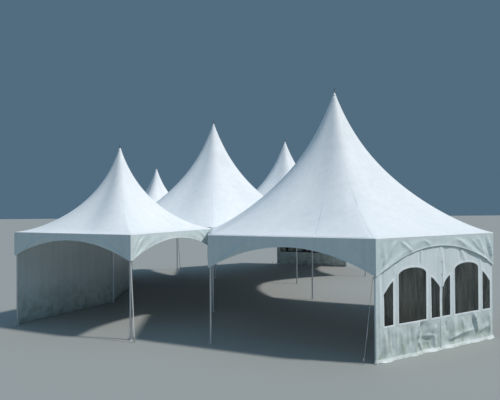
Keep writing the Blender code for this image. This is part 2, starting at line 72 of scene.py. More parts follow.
bays = {}
for bay_name, legs in BAY_LEGS.items():
    corners = [leg_place[leg] for leg in legs]
    sides = []
    for index, end in enumerate(corners):
        start = corners[index - 1]
        along = (end - start).normalized()
        sides.append({"ends": (legs[index - 1], legs[index]), "start": start, "end": end, "along": along,
                      "length": (end - start).length, "outward": Vector((along.y, -along.x))})
    bays[bay_name] = {"name": bay_name, "legs": legs, "corners": corners, "sides": sides,
                      "middle": sum(corners, Vector((0.0, 0.0))) / len(corners)}
for bay in bays.values():
    others = [set(side["ends"]) for other in bays.values() if other is not bay for side in other["sides"]]
    for side in bay["sides"]:
        side["shared"] = set(side["ends"]) in others
    bay["apothem"] = (bay["sides"][0]["start"] - bay["middle"]).dot(bay["sides"][0]["outward"])
for leg in NARROW_LEGS:
    meeting = [(bay, side) for bay in bays.values() for side in bay["sides"]
               if leg in side["ends"] and not side["shared"]]
    away = [side["along"] if side["start"] == leg_place[leg] else -side["along"] for bay, side in meeting]
    for (bay, side), own, other in zip(meeting, away, reversed(away)):
        bay["cut"] = ((other - own).normalized(), leg_place[leg])


def at_height(spot, height=0.0):
    """A spot on the plan, or a way across it, at a height."""
    return Vector((spot[0], spot[1], height))


def bay_outline(bay, overhang):
    """Edge of a cloth over a bay, from its middle: outward direction and two ends of each stretch."""
    stretches = []
    for side in bay["sides"]:
        stretches.append((side["outward"], bay["apothem"] + (-SEAM_HALF if side["shared"] else overhang)))
    if "cut" in bay:
        facing, place = bay["cut"]
        stretches.append((facing, facing.dot(place - bay["middle"]) - SEAM_HALF))
    stretches.sort(key=lambda stretch: math.atan2(stretch[0].y, stretch[0].x))
    ends = []
    for (one, reach), (two, next_reach) in zip(stretches, stretches[1:] + stretches[:1]):
        cross = one.x * two.y - one.y * two.x
        ends.append(Vector(((reach * two.y - next_reach * one.y) / cross,
                            (one.x * next_reach - two.x * reach) / cross)))
    return [(stretch[0], ends[index - 1], ends[index]) for index, stretch in enumerate(stretches)]


def side_ends(bay, side, overhang):
    """Both ends of a cloth's edge along one side, from the bay's middle."""
    return next((start, end) for outward, start, end in bay_outline(bay, overhang)
                if outward.dot(side["outward"]) > PARALLEL)


def mitred_ends(bay, side, overhang):
    """Both ends of an edge on the plan, and the way that each takes as the edge moves out by a metre."""
    near, far = [[bay["middle"] + spot for spot in side_ends(bay, side, reach)]
                 for reach in (overhang, overhang + MITRE_STEP)]
    return near, [(outer - inner) * (1.0 / MITRE_STEP) for inner, outer in zip(near, far)]


# Legs
# Round tube of mill-finish aluminium in a socket welded to a round foot plate, with a cross pin
# through the socket and two ground spikes through the plate. A leg is lifted out after pulling the pin.
TUBE_RADIUS = 0.0255
TURNED_STEPS = 40
PLATE_RADIUS = 0.075
PLATE_TOP = 0.008
SOCKET_RADIUS = 0.0290
SOCKET_TOP = 0.105
SOCKET_WELD = 0.006
PIN_HEIGHT = 0.072
PIN_RADIUS = 0.004
PIN_REACH = 0.040
SPIKE_SPREAD = 50.0            # degrees of each spike from the way into the bay
SPIKE_REACH = 0.055


def angles(first, last, steps):
    """Even steps from one angle in degrees to another, in radians."""
    return [math.radians(first + (last - first) * step / steps) for step in range(steps + 1)]


def circle(radius, steps):
    return [(radius * math.cos(angle), radius * math.sin(angle)) for angle in angles(0.0, 360.0, steps)[:-1]]


def grid_shape(grid, closed=False, ends="open"):
    """Points and faces over rows of points. Closed joins the last column to the first; the first
    and last rows are left open, capped, or joined to each other."""
    rows = len(grid)
    columns = len(grid[0])
    faces = []
    for row in range(rows if ends == "joined" else rows - 1):
        here = row * columns
        there = (row + 1) % rows * columns
        for column in range(columns if closed else columns - 1):
            after = (column + 1) % columns
            faces.append((here + column, here + after, there + after, there + column))
    if ends == "capped":
        faces += [tuple(range(columns))[::-1], tuple(range((rows - 1) * columns, rows * columns))]
    return [point for row in grid for point in row], faces


def merged(shapes):
    """Several shapes of points and faces as one."""
    points = []
    faces = []
    for shape_points, shape_faces in shapes:
        first = len(points)
        points.extend(shape_points)
        faces.extend(tuple(first + index for index in face) for face in shape_faces)
    return points, faces


def turned(outline, start, axis=UP, steps=TURNED_STEPS):
    """Turned shape of (radius, distance along the axis) pairs, closed flat at both ends."""
    turn = axis.to_track_quat("Z", "Y").to_matrix()
    rings = [[start + turn @ Vector((x, y, height)) for x, y in circle(radius, steps)]
             for radius, height in outline]
    return grid_shape(rings, closed=True, ends="capped")


def both_ends(half, length=0.0):
    """A turned outline that ends as it begins."""
    return half + [(radius, length - height) for radius, height in reversed(half)]


def rod(start, end, radius, steps=16, edge=0.15):
    """Straight round bar with its end edges taken off."""
    bevel = radius * edge
    outline = both_ends([(radius - bevel, 0.0), (radius, bevel)], (end - start).length)
    return turned(outline, start, end - start, steps)


def swept(stations, profile, closed=False):
    """The same closed profile at each station, which is an (origin, across, up) triple."""
    rows = [[origin + across * a + up * b for a, b in profile] for origin, across, up in stations]
    return grid_shape(rows, closed=True, ends="joined" if closed else "capped")


def wire(path, radius, steps=8, closed=False):
    """Round wire bent along a path."""
    path = [Vector(point) for point in path]
    stations = []
    for index, point in enumerate(path):
        before = path[index - 1] if index or closed else point
        after = path[(index + 1) % len(path)] if index < len(path) - 1 or closed else point
        run = (after - before).normalized()
        across = run.cross(UP)
        if across.length < 0.2:
            across = run.cross(Vector((1.0, 0.0, 0.0)))
        across.normalize()
        stations.append((point, across, across.cross(run)))
    return swept(stations, circle(radius, steps), closed)


def left_of(way):
    """The level way to the left of another."""
    return Vector((-way.y, way.x, 0.0))


def face_outwards(mesh, split_large=False):
    """Turn a mesh's faces outwards; split_large first cuts faces of many corners into triangles."""
    work = bmesh.new()
    work.from_mesh(mesh)
    if split_large:
        bmesh.ops.triangulate(work, faces=[face for face in work.faces if len(face.verts) > 4])
    bmesh.ops.recalc_face_normals(work, faces=work.faces)
    work.to_mesh(mesh)
    work.free()


def add_object(name, data):
    thing = bpy.data.objects.new(name, data)
    bpy.context.scene.collection.objects.link(thing)
    return thing


def add_shape(name, shape):
    """Put points and faces into the scene as one object."""
    mesh = bpy.data.meshes.new(name)
    mesh.from_pydata([tuple(point) for point in shape[0]], [], shape[1])
    face_outwards(mesh)
    return add_object(name, mesh)


def add_piece(name, shape, material, smooth=35.0):
    """Make one piece of the marquee, which stands with all the rest on the ground."""
    piece = add_shape(name, shape)
    piece.data.materials.append(material)
    piece.data.shade_smooth()
    piece.data.set_sharp_from_angle(angle=math.radians(smooth))
    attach(piece, "root")
    return piece


def fill_sockets(material, node, sockets):
    """Give each of a node's sockets a value, or the output that drives it."""
    for key, value in sockets.items():
        if isinstance(value, bpy.types.NodeSocket):
            material.node_tree.links.new(value, node.inputs[key])
        else:
            node.inputs[key].default_value = value


def add_node(material, kind, sockets, **settings):
    node = material.node_tree.nodes.new(kind)
    for key, value in settings.items():
        setattr(node, key, value)
    fill_sockets(material, node, sockets)
    return node


def start_material(name):
    """A new material, its shader, and the place of each point on the object."""
    material = bpy.data.materials.new(name)
    material.use_nodes = True
    place = add_node(material, "ShaderNodeTexCoord", {}).outputs["Object"]
    return material, material.node_tree.nodes["Principled BSDF"], place


def blend_colours(material, amount, first, second):
    """A colour between two others, each a plain colour or the output of a node."""
    colours = [colour if isinstance(colour, bpy.types.NodeSocket) else (*colour, 1.0)
               for colour in (first, second)]
    return add_node(material, "ShaderNodeMix", {0: amount, 6: colours[0], 7: colours[1]},
                    data_type="RGBA").outputs[2]


def noise(material, place, scale, detail=2.0, roughness=0.5, distortion=0.0):
    """Cloudy unevenness, or streaks where the scale is three numbers."""
    if isinstance(scale, tuple):
        place = add_node(material, "ShaderNodeMapping", {"Vector": place, "Scale": scale}).outputs[0]
        scale = 1.0
    sockets = {"Vector": place, "Scale": scale, "Detail": detail, "Roughness": roughness,
               "Distortion": distortion}
    return add_node(material, "ShaderNodeTexNoise", sockets).outputs["Fac"]


def ribs(material, place, scale, distortion, direction):
    """Even close ribs across one direction."""
    sockets = {"Vector": place, "Scale": scale, "Distortion": distortion}
    return add_node(material, "ShaderNodeTexWave", sockets, bands_direction=direction).outputs["Fac"]


def ranged(material, value, old, new):
    """A value moved from one range to another, and held inside it."""
    sockets = {"Value": value, "From Min": old[0], "From Max": old[1], "To Min": new[0], "To Max": new[1]}
    return add_node(material, "ShaderNodeMapRange", sockets).outputs[0]


def relief(material, height, strength, distance, under=None):
    """Fine unevenness of a surface, laid over another where that is given."""
    sockets = {"Height": height, "Strength": strength, "Distance": distance}
    if under is not None:
        sockets["Normal"] = under
    return add_node(material, "ShaderNodeBump", sockets).outputs[0]


def metal_finish(name, pale, dark, roughness, grain):
    """Bare metal with drawn streaks along its length and duller patches."""
    material, shader, place = start_material(name)
    streaks = noise(material, place, grain, detail=4.0)
    clouds = noise(material, place, 9.0, detail=3.0)
    fill_sockets(material, shader, {
        "Metallic": 1.0,
        "Base Color": blend_colours(material, clouds, pale, dark),
        "Roughness": ranged(material, streaks, (0.3, 0.7), (roughness - 0.08, roughness + 0.12)),
        "Normal": relief(material, streaks, 0.15, 0.0006),
    })
    return material


ALUMINIUM = metal_finish("mill_aluminium", (0.80, 0.81, 0.82), (0.62, 0.63, 0.64), 0.36, (60.0, 60.0, 2.0))
PIN_STEEL = metal_finish("plated_pin_steel", (0.60, 0.60, 0.58), (0.38, 0.37, 0.35), 0.42,
                         (40.0, 40.0, 40.0))

for leg, place in leg_place.items():
    middle = next(bay["middle"] for bay in bays.values() if leg.startswith(bay["name"]))
    inward = (middle - place).normalized()
    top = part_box("leg_" + leg)[1][2]
    tube = turned([(PLATE_RADIUS - 0.003, 0.0), (PLATE_RADIUS, 0.0012), (PLATE_RADIUS, 0.0066),
                   (PLATE_RADIUS - 0.002, PLATE_TOP), (SOCKET_RADIUS + SOCKET_WELD, PLATE_TOP),
                   (SOCKET_RADIUS + 0.002, PLATE_TOP + 0.002), (SOCKET_RADIUS, PLATE_TOP + SOCKET_WELD),
                   (SOCKET_RADIUS, SOCKET_TOP - 0.002), (SOCKET_RADIUS - 0.001, SOCKET_TOP),
                   (TUBE_RADIUS + 0.0002, SOCKET_TOP), (TUBE_RADIUS, SOCKET_TOP + 0.001),
                   (TUBE_RADIUS, top)], at_height(place))
    leg_piece = add_piece("leg_" + leg + "_tube", tube, ALUMINIUM)
    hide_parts("leg_" + leg)
    sideways = left_of(inward)
    pin_middle = at_height(place, PIN_HEIGHT)
    fixings = [rod(pin_middle - sideways * PIN_REACH, pin_middle + sideways * PIN_REACH, PIN_RADIUS),
               rod(pin_middle - sideways * (PIN_REACH + 0.003), pin_middle - sideways * (PIN_REACH - 0.004),
                   PIN_RADIUS * 2)]
    for hand in (-1, 1):
        angle = math.atan2(inward.y, inward.x) + hand * math.radians(SPIKE_SPREAD)
        spot = place + Vector((math.cos(angle), math.sin(angle))) * SPIKE_REACH
        fixings.append(turned([(0.008, -0.002), (0.008, 0.003), (0.012, 0.004), (0.012, 0.009),
                               (0.009, 0.012)], at_height(spot, PLATE_TOP), steps=20))
    add_piece("leg_" + leg + "_pins", merged(fixings), PIN_STEEL)


# Eave frame
# Straight aluminium tubes between cast corner fittings, which sit on the legs. A bolt through each
# fitting's top clamps it, and a snap pin holds each tube end. The two narrow corners have drum fittings.
FITTING_HEIGHT = 0.11
FITTING_RADIUS = 0.045
FITTING_EDGE = 0.004
FITTING_RIB = 0.0025
DRUM_RADIUS = 0.1005
COLLAR_WALL = 0.004
TUBE_SINK = 0.002              # top of a fitting to the top of its tubes
SNAP_PIN_PLACE = 0.045         # fitting's face to the pin
TUBE_STEPS = 36
TUBE_EDGE = 0.05


def fitting_radius(leg):
    return DRUM_RADIUS if leg in NARROW_LEGS else FITTING_RADIUS


tube_height = EAVE - TUBE_SINK - TUBE_RADIUS
for bay in bays.values():
    own = [leg for leg in bay["legs"] if leg.startswith(bay["name"])]
    shapes = []
    for leg in own:
        radius = fitting_radius(leg)
        foot = at_height(leg_place[leg], EAVE - FITTING_HEIGHT)
        shapes.append(turned(both_ends([(radius - FITTING_EDGE, 0.0), (radius, FITTING_EDGE), (radius, 0.016),
                                        (radius - FITTING_RIB, 0.020)], FITTING_HEIGHT), foot))
        shapes.append(turned([(TUBE_RADIUS + 0.0005, -0.018), (TUBE_RADIUS + COLLAR_WALL, -0.016),
                              (TUBE_RADIUS + COLLAR_WALL, 0.002)], foot))
    pins = []
    for side in bay["sides"]:
        for corner, hand, leg in zip((side["start"], side["end"]), (1, -1), side["ends"]):
            spot = corner + side["along"] * hand * (fitting_radius(leg) + SNAP_PIN_PLACE)
            spot = at_height(spot, tube_height)
            pins.append(rod(spot - at_height(side["outward"]) * (TUBE_RADIUS + 0.006), spot, 0.006, 12))
            pins.append(rod(spot - UP * (TUBE_RADIUS + 0.012), spot, 0.004, 10))
        if any(leg in own for leg in side["ends"]):
            reaches = [TUBE_RADIUS if leg in own else fitting_radius(leg) + 0.0005 for leg in side["ends"]]
            shapes.append(rod(at_height(side["start"] + side["along"] * reaches[0], tube_height),
                              at_height(side["end"] - side["along"] * reaches[1], tube_height),
                              TUBE_RADIUS, TUBE_STEPS, TUBE_EDGE))
    frame_piece = add_piece("eave_tubes_" + bay["name"], merged(shapes), ALUMINIUM)
    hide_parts("eave_frame_" + bay["name"])
    add_piece("eave_pins_" + bay["name"], merged(pins), PIN_STEEL)


# Masts
# Each peak is held up by an aluminium mast on a steel hub, which hangs on wire cables from the corner
# fittings, with a turnbuckle in each cable. The mast ends in a thin spire above the cover's cap.
MAST_RADIUS = 0.030
HUB_DROP = 0.32
HUB_RADIUS = 0.050
CABLE_DROP = 0.080
CABLE_RADIUS = 0.0045
TURNBUCKLE_LENGTH = 0.17
TURNBUCKLE_RADIUS = 0.011
TURNBUCKLE_PLACE = 0.12        # its end to the corner fitting
SPIRE_FOOT = 0.070             # top of the cloth to the foot of the spire
SPIRE_STEPS = 20
COVER_CAD_THICKNESS = 0.0063   # the cover's solid, with its gap over the fittings

SPIRE_METAL = metal_finish("dull_spire_metal", (0.30, 0.31, 0.32), (0.20, 0.20, 0.21), 0.45,
                           (50.0, 50.0, 3.0))

for bay in bays.values():
    name = bay["name"]
    middle = bay["middle"]
    cover_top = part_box("cover_" + name)[1][2]
    bay["rise"] = cover_top - EAVE - COVER_CAD_THICKNESS
    hub_height = EAVE - HUB_DROP
    hub = at_height(middle, hub_height)
    shapes = [turned(both_ends([(0.034, -0.050), (0.047, -0.050), (HUB_RADIUS, -0.047), (HUB_RADIUS, -0.036),
                                (0.043, -0.032)]), hub),
              turned([(0.012, -0.075), (0.020, -0.070), (0.020, -0.048)], hub, steps=24),
              rod(at_height(middle, hub_height + 0.02), at_height(middle, cover_top + 0.015), MAST_RADIUS,
                  TUBE_STEPS, TUBE_EDGE)]
    cables = []
    for leg, corner in zip(bay["legs"], bay["corners"]):
        outward = (corner - middle).normalized()
        start = at_height(middle + outward * (HUB_RADIUS - 0.006), hub_height)
        end = at_height(corner - outward * (fitting_radius(leg) + 0.0008), EAVE - CABLE_DROP)
        run = (end - start).normalized()
        buckle = both_ends([(0.006, 0.0), (TURNBUCKLE_RADIUS, 0.018), (TURNBUCKLE_RADIUS, 0.03),
                            (0.008, 0.036)], TURNBUCKLE_LENGTH)
        cables += [rod(start, end, CABLE_RADIUS, 10),
                   turned(buckle, end - run * (TURNBUCKLE_LENGTH + TURNBUCKLE_PLACE), run, 14),
                   turned([(0.007, 0.0), (0.008, 0.004), (0.008, 0.045), (0.0055, 0.05)], start, run, 12)]
    mast = add_piece("mast_tube_" + name, merged(shapes), ALUMINIUM)
    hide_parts("mast_" + name)
    add_piece("mast_cables_" + name, merged(cables), PIN_STEEL)
    spire_low = cover_top + SPIRE_FOOT
    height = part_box("mast_" + name)[1][2] - spire_low
    spire = turned([(0.016, 0.0), (0.016, 0.016), (0.0125, 0.022), (0.0110, 0.30 * height),
                    (0.0085, 0.65 * height), (0.0050, 0.95 * height), (0.0022, height)],
                   at_height(middle, spire_low), steps=SPIRE_STEPS)
    add_piece("mast_spire_" + name, spire, SPIRE_METAL)


# Peaked covers
# Each cover is gores of white coated polyester cloth welded edge to edge, drawn up by the mast and
# down over the eave tubes. Its free edges end in a rope welted roll, which rides proud of the valance,
# and a moulded cap sits over its top, round the foot of the spire.
COLLAR_RADIUS = 0.047
CURVE_POWER = {6: 1.29, 4: 1.53}   # how hollow the slope is, for six and four sides
TIP_SHARE = 0.35                   # share of the rise taken by the steep upper part
TIP_LENGTH = 0.222
RIDGE_POWER = 0.48                 # how soon the round top widens to the ridges
CORNER_SHARPNESS = 3.5             # how fast a ridge grows sharp towards the eave
CORNER_PULL = 0.006                # ripples drawn towards each eave corner
RIPPLE_TURNS = 70.0
RIPPLE_REACH = 0.55
RIDGE_WRINKLE = ((-0.03, -2.12), (-0.10, -2.72), 0.035, -0.030)     # on the front right cover
CREST = 0.014                      # half width of a fold's rounded crest
CAP_FOOT = 0.012                   # how far the cap's skirt laps down over the cloth
COVER_LIFT = 0.003                 # cloth's middle above the fittings
COVER_CLOTH = 0.003
COVER_ROWS = 46
COVER_COLUMNS = 144
VALANCE_OUT = 0.0513               # legs' line to the outer face of the valance
GORE_STRIPS = 3                    # cloth widths in one gore
TURNED_IN = 0.1                    # length of cloth taken up by its turned ends
SEAM_WIDTH = 0.030
SEAM_SECTION = ((-0.5, 0.0005), (-0.42, 0.0024), (0.42, 0.0024), (0.5, 0.0005))   # (share of width, lift)
SEAM_FIRST_ROW = 4
SEAM_WIDENS = 8.0                  # how soon below the mast a seam has its full width
SEAM_LEAST = 0.2
ROLL_RADIUS = 0.012
ROLL_DROP = 0.0060
VALANCE_RUNS = {                   # each run's bay and its sides
    "centre_right": ("centre", (0,)),
    "centre_left": ("centre", (3,)),
    "front_right": ("front_right", (3, 4, 5, 0, 1)),
    "back_right": ("back_right", (5, 0, 1, 2, 3)),
    "front_left": ("front_left", (1, 2, 3)),
    "back_left": ("back_left", (0, 1, 2)),
}
# Greenish colour laid low on the cloth: partly splashed soil, partly painted fold shadow and painted green
# light from the ground.
SOIL_AND_PAINTED_SHADE = (0.34, 0.41, 0.34)
THREADS = 90.0


def product(material, one, other):
    return add_node(material, "ShaderNodeMath", {0: one, 1: other}, operation="MULTIPLY").outputs[0]


def cloth_finish(name, white, shade, soil_and_shade_height=0.02, roughness=0.42, weave=True):
    """White coated cloth: woven scrim under a smooth coat, with rain streaks, dust, and greenish blotches low
    down that are partly splashed soil and partly painted fold shadow and painted green light from the ground.
    """
    material, shader, place = start_material(name)
    clouds = noise(material, place, 0.9, detail=5.0, roughness=0.6)
    streaks = noise(material, place, (7.0, 7.0, 0.45), detail=4.0)
    dust = ranged(material, product(material, clouds, streaks), (0.15, 0.42), (0.0, 1.0))
    height = add_node(material, "ShaderNodeSeparateXYZ", {0: place}).outputs["Z"]
    low = ranged(material, height, (0.0, soil_and_shade_height), (0.9, 0.0))
    splashes_and_shade_blots = noise(material, place, 4.0, detail=6.0, distortion=0.5)
    soil_and_shade = product(material, low, ranged(material, splashes_and_shade_blots, (0.42, 0.64), (0.38, 1.0)))
    face = relief(material, noise(material, place, 5.0), 0.12, 0.01)
    if weave:
        for direction in "XYZ":
            face = relief(material, ribs(material, place, THREADS, 0.4, direction), 0.12, 0.0004, face)
    fill_sockets(material, shader, {
        "Base Color": blend_colours(material, soil_and_shade, blend_colours(material, dust, white, shade),
                                    SOIL_AND_PAINTED_SHADE),
        "Roughness": ranged(material, clouds, (0.3, 0.7), (roughness - 0.06, roughness + 0.10)),
        "Specular IOR Level": 0.25,
        "Normal": face,
    })
    return material


COVER_WHITE = cloth_finish("white_cover_cloth", (0.88, 0.895, 0.91), (0.80, 0.825, 0.85), roughness=0.56)
SEAM_WHITE = cloth_finish("white_cover_seam", (0.87, 0.885, 0.90), (0.80, 0.825, 0.85), roughness=0.54)
WELD_WHITE = cloth_finish("white_welded_edge", (0.84, 0.86, 0.88), (0.77, 0.80, 0.83), roughness=0.36,
                          weave=False)
# The roped eave roll is a brighter white than the cover cloth: a painted highlight along the eave line.
ROLL_PAINTED_HIGHLIGHT = cloth_finish("roped_edge_painted_highlight", (0.93, 0.94, 0.95), (0.88, 0.89, 0.90), roughness=0.36,
                          weave=False)
CAP_WHITE = cloth_finish("white_moulded_cap", (0.80, 0.82, 0.84), (0.70, 0.72, 0.74), roughness=0.30,
                         weave=False)


def slope_height(bay, share):
    """Height over the eave, from the mast (share 0) to the eave (share 1)."""
    hollow = (1.0 - TIP_SHARE) * (1.0 - share) ** CURVE_POWER[len(bay["sides"])]
    rest = math.exp(-1.0 / TIP_LENGTH)
    tip = TIP_SHARE * (np.exp(-share / TIP_LENGTH) - rest) / (1.0 - rest)
    return bay["rise"] * (hollow + tip)


def crease(x, z, start, end, width, depth):
    """A straight fold from one place to another, with a narrow crest and fading at both ends."""
    run = math.hypot(end[0] - start[0], end[1] - start[1])
    ux = (end[0] - start[0]) / run
    uz = (end[1] - start[1]) / run
    along = (x - start[0]) * ux + (z - start[1]) * uz
    off = (z - start[1]) * ux - (x - start[0]) * uz
    fade = np.clip(along / (0.25 * run), 0.0, 1.0) * np.clip((run - along) / (0.25 * run), 0.0, 1.0)
    return depth * fade * np.exp((CREST - np.hypot(off, CREST)) / width)


def cover_points(bay, edge, share, lift=0.0):
    """Points of a cover over edge points (from the bay's middle), at shares of the way to the eave."""
    count = len(bay["corners"])
    far = np.hypot(edge[..., 0], edge[..., 1])
    first = bay["corners"][0] - bay["middle"]
    heading = np.arctan2(edge[..., 1], edge[..., 0]) - math.atan2(first.y, first.x)
    bulge = (1.0 / math.cos(math.pi / count) - 1.0) * (0.5 + 0.5 * np.cos(count * heading))
    rounded = bay["apothem"] * (1.0 + bulge)
    outline = rounded + (far - rounded) * share ** CORNER_SHARPNESS
    round_reach = COLLAR_RADIUS + share * (bay["apothem"] - COLLAR_RADIUS)
    flat_reach = COLLAR_RADIUS + share * (outline - COLLAR_RADIUS)
    reach = round_reach + (flat_reach - round_reach) * share ** RIDGE_POWER
    x = edge[..., 0] / far * reach
    y = edge[..., 1] / far * reach
    pull = 0.0
    for corner in bay["corners"]:
        spot = np.array(corner - bay["middle"])
        across = (edge[..., 0] * spot[1] - edge[..., 1] * spot[0]) / (far * np.hypot(*spot))
        gap = np.hypot(x - spot[0], y - spot[1])
        pull = pull + (np.cos(across * RIPPLE_TURNS) * np.exp(-gap / RIPPLE_REACH)
                       * np.clip(gap / 0.25, 0.0, 1.0))
    height = EAVE + COVER_LIFT + slope_height(bay, share) + CORNER_PULL * pull * (1.0 - share ** 30) + lift
    if bay["name"] == "front_right":
        height = height + crease(x, y, *RIDGE_WRINKLE)
    return np.stack([x + bay["middle"].x, y + bay["middle"].y, height], axis=-1)


def apply_modifiers(piece):
    bpy.context.view_layer.update()
    made = bpy.data.meshes.new_from_object(piece.evaluated_get(bpy.context.evaluated_depsgraph_get()))
    piece.modifiers.clear()
    piece.data = made


def surface_area(piece):
    return sum(polygon.area for polygon in piece.data.polygons)


def thicken(piece, thickness):
    """Give a cloth its real thickness, and return the area that one face of it had before."""
    area = surface_area(piece)
    solid = piece.modifiers.new("cloth", "SOLIDIFY")
    solid.thickness = thickness
    solid.offset = 0.0
    solid.use_even_offset = True
    apply_modifiers(piece)
    return area


def cover_edge(bay, columns):
    """Evenly spaced edge points of a cover, corners included."""
    outline = bay_outline(bay, VALANCE_OUT)
    whole = sum((end - start).length for outward, start, end in outline)
    edge = []
    for outward, start, end in outline:
        steps = max(2, round(columns * (end - start).length / whole))
        edge.extend(start.lerp(end, step / steps) for step in range(steps))
    return np.array([tuple(point) for point in edge])


shares = (np.arange(COVER_ROWS + 1) / COVER_ROWS) ** 1.25       # rows are closer towards the mast
stations = shares[SEAM_FIRST_ROW:]
seam_widths = np.minimum(stations * SEAM_WIDENS, 1.0) * SEAM_WIDTH / np.maximum(stations, SEAM_LEAST)
for bay in bays.values():
    name = bay["name"]
    points = cover_points(bay, cover_edge(bay, COVER_COLUMNS)[None, :, :], shares[:, None])
    cover = add_piece("cover_cloth_" + name, grid_shape(points, closed=True), COVER_WHITE)
    surface = thicken(cover, COVER_CLOTH)
    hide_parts("cover_" + name)
    seam_shapes = []
    for index, side in enumerate(bay["sides"]):
        start, end = side_ends(bay, side, VALANCE_OUT)
        for strip in range(GORE_STRIPS):
            foot = start.lerp(end, strip / GORE_STRIPS)
            sideways = side["along"]
            if strip == 0:
                sideways = (sideways + bay["sides"][index - 1]["along"]).normalized()
            rows = []
            for across, lift in SEAM_SECTION:
                line = np.array(foot) + seam_widths[:, None] * np.array(sideways) * across
                rows.append(cover_points(bay, line, stations, lift))
            seam_shapes.append(grid_shape(np.stack(rows, axis=1)))
    seams = add_piece("cover_seams_" + name, merged(seam_shapes), SEAM_WHITE)
    cap = turned([(0.040, 0.001), (0.0545, 0.001), (0.0580, -CAP_FOOT), (0.0595, -CAP_FOOT), (0.0560, -0.001),
                  (0.0490, 0.012), (0.0410, 0.030), (0.0335, 0.048), (0.0270, 0.064), (0.0230, 0.074),
                  (0.0190, 0.078)], at_height(bay["middle"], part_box("cover_" + name)[1][2]))
    add_piece("mast_cap_" + name, cap, CAP_WHITE)

roll_profile = [(-0.044, 0.0112), (-0.024, 0.0090), (-0.008, 0.0068)]
roll_profile += [(ROLL_RADIUS * math.cos(angle), ROLL_RADIUS * math.sin(angle) - ROLL_DROP)
                 for angle in angles(80.0, -82.0, 9)]
roll_profile += [(0.0040, -0.024), (0.0040, -0.050), (0.0015, -0.050), (0.0010, -0.022), (-0.004, 0.0),
                 (-0.024, 0.0060), (-0.044, 0.0085)]
for run_name, (bay_name, numbers) in VALANCE_RUNS.items():
    bay = bays[bay_name]
    mitres = []
    for number in numbers:
        spots, leans = mitred_ends(bay, bay["sides"][number], VALANCE_OUT)
        mitres += list(zip(spots, leans))[1 if mitres else 0:]
    roll = swept([(at_height(spot, EAVE), at_height(lean), UP) for spot, lean in mitres], roll_profile)
    add_piece("eave_roll_" + run_name, roll, ROLL_PAINTED_HIGHLIGHT, 45.0)


# Rain gutters
# Strips of the same cloth laced over the slots between the covers, from each shared front or back leg
# to the next legs. Elastic loops along both edges hold them to knobs on the covers.
GUTTER_HALF_WIDTH = 0.090
GUTTER_LINES = (0.07, 0.2, 0.4, 0.6, 0.8, 0.97, 1.0)     # shares of the half width
GUTTER_STATIONS = 60
GUTTER_END = 0.140
GUTTER_LIFT = 0.0125
GUTTER_CLOTH = 0.0025
GUTTER_EDGE_LIFT = 0.002
GUTTER_WANDER = 0.0015             # how far its edges rise and fall
GUTTER_OVERLAP = 0.001             # one strip over the other at their shared leg
GUTTER_SEAMS = {
    "front": ("centre_5", (("centre_4", "front_left"), ("centre_6", "front_right"))),
    "back": ("centre_2", (("centre_3", "back_left"), ("centre_1", "back_right"))),
}
LOOP_PITCH = 0.35
LOOP_WIRE = 0.0025
LOOP_HALF_WIDTH = 0.018
LOOP_LENGTH = 0.030
LOOP_RISE = 0.014
KNOB_OUTLINE = ((0.003, 0.0), (0.008, 0.002), (0.009, 0.007), (0.005, 0.011))
KNOB_LIFT = 0.010

ELASTIC = cloth_finish("white_elastic_cord", (0.70, 0.71, 0.72), (0.58, 0.59, 0.60), roughness=0.7,
                       weave=False)

offsets = np.array([-share for share in reversed(GUTTER_LINES)] + list(GUTTER_LINES)) * GUTTER_HALF_WIDTH
for gutter_name, (first_leg, ends) in GUTTER_SEAMS.items():
    shapes = []
    loops = []
    for last_leg, bay_name in ends:
        start = leg_place[first_leg]
        along = (leg_place[last_leg] - start).normalized()
        across = Vector((-along.y, along.x))
        length = (leg_place[last_leg] - start).length - GUTTER_END
        rise = np.zeros(len(offsets))
        for bay in (bays["centre"], bays[bay_name]):
            share = 1.0 - np.abs(offsets) / (bay["apothem"] - COLLAR_RADIUS)
            rise = np.maximum(rise, slope_height(bay, share))
        rise[[0, -1]] += GUTTER_EDGE_LIFT
        steps = np.linspace(0.0, length, GUTTER_STATIONS)[:, None]
        wander = GUTTER_WANDER * np.sin(steps * 9.0) * np.abs(offsets / GUTTER_HALF_WIDTH)
        spots = np.zeros((GUTTER_STATIONS, len(offsets), 3))
        for axis in (0, 1):
            spots[..., axis] = start[axis] + along[axis] * steps + across[axis] * offsets
        spots[..., 2] = EAVE + GUTTER_LIFT + rise + wander + GUTTER_OVERLAP * bay_name.endswith("left")
        shapes.append(grid_shape(spots))
        high = EAVE + GUTTER_LIFT + float(rise[0])
        for hand in (-1, 1):
            for number in range(1, int(length / LOOP_PITCH)):
                middle = start + along * number * LOOP_PITCH + across * hand * GUTTER_HALF_WIDTH
                path = []
                for angle in angles(0.0, 180.0, 8):
                    spot = middle + along * LOOP_HALF_WIDTH * math.cos(angle)
                    spot += across * hand * LOOP_LENGTH * math.sin(angle)
                    path.append(at_height(spot, high + LOOP_RISE * math.sin(angle) + 0.002))
                loops.append(wire(path, LOOP_WIRE, 6))
                knob = at_height(middle + across * hand * (LOOP_LENGTH + 0.002), high + KNOB_LIFT)
                loops.append(turned(KNOB_OUTLINE, knob, steps=12))
    gutter = add_piece("gutter_cloth_" + gutter_name, merged(shapes), COVER_WHITE, 60.0)
    surface = thicken(gutter, GUTTER_CLOTH)
    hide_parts("gutter_" + gutter_name)
    lacing = add_piece("gutter_loops_" + gutter_name, merged(loops), ELASTIC)


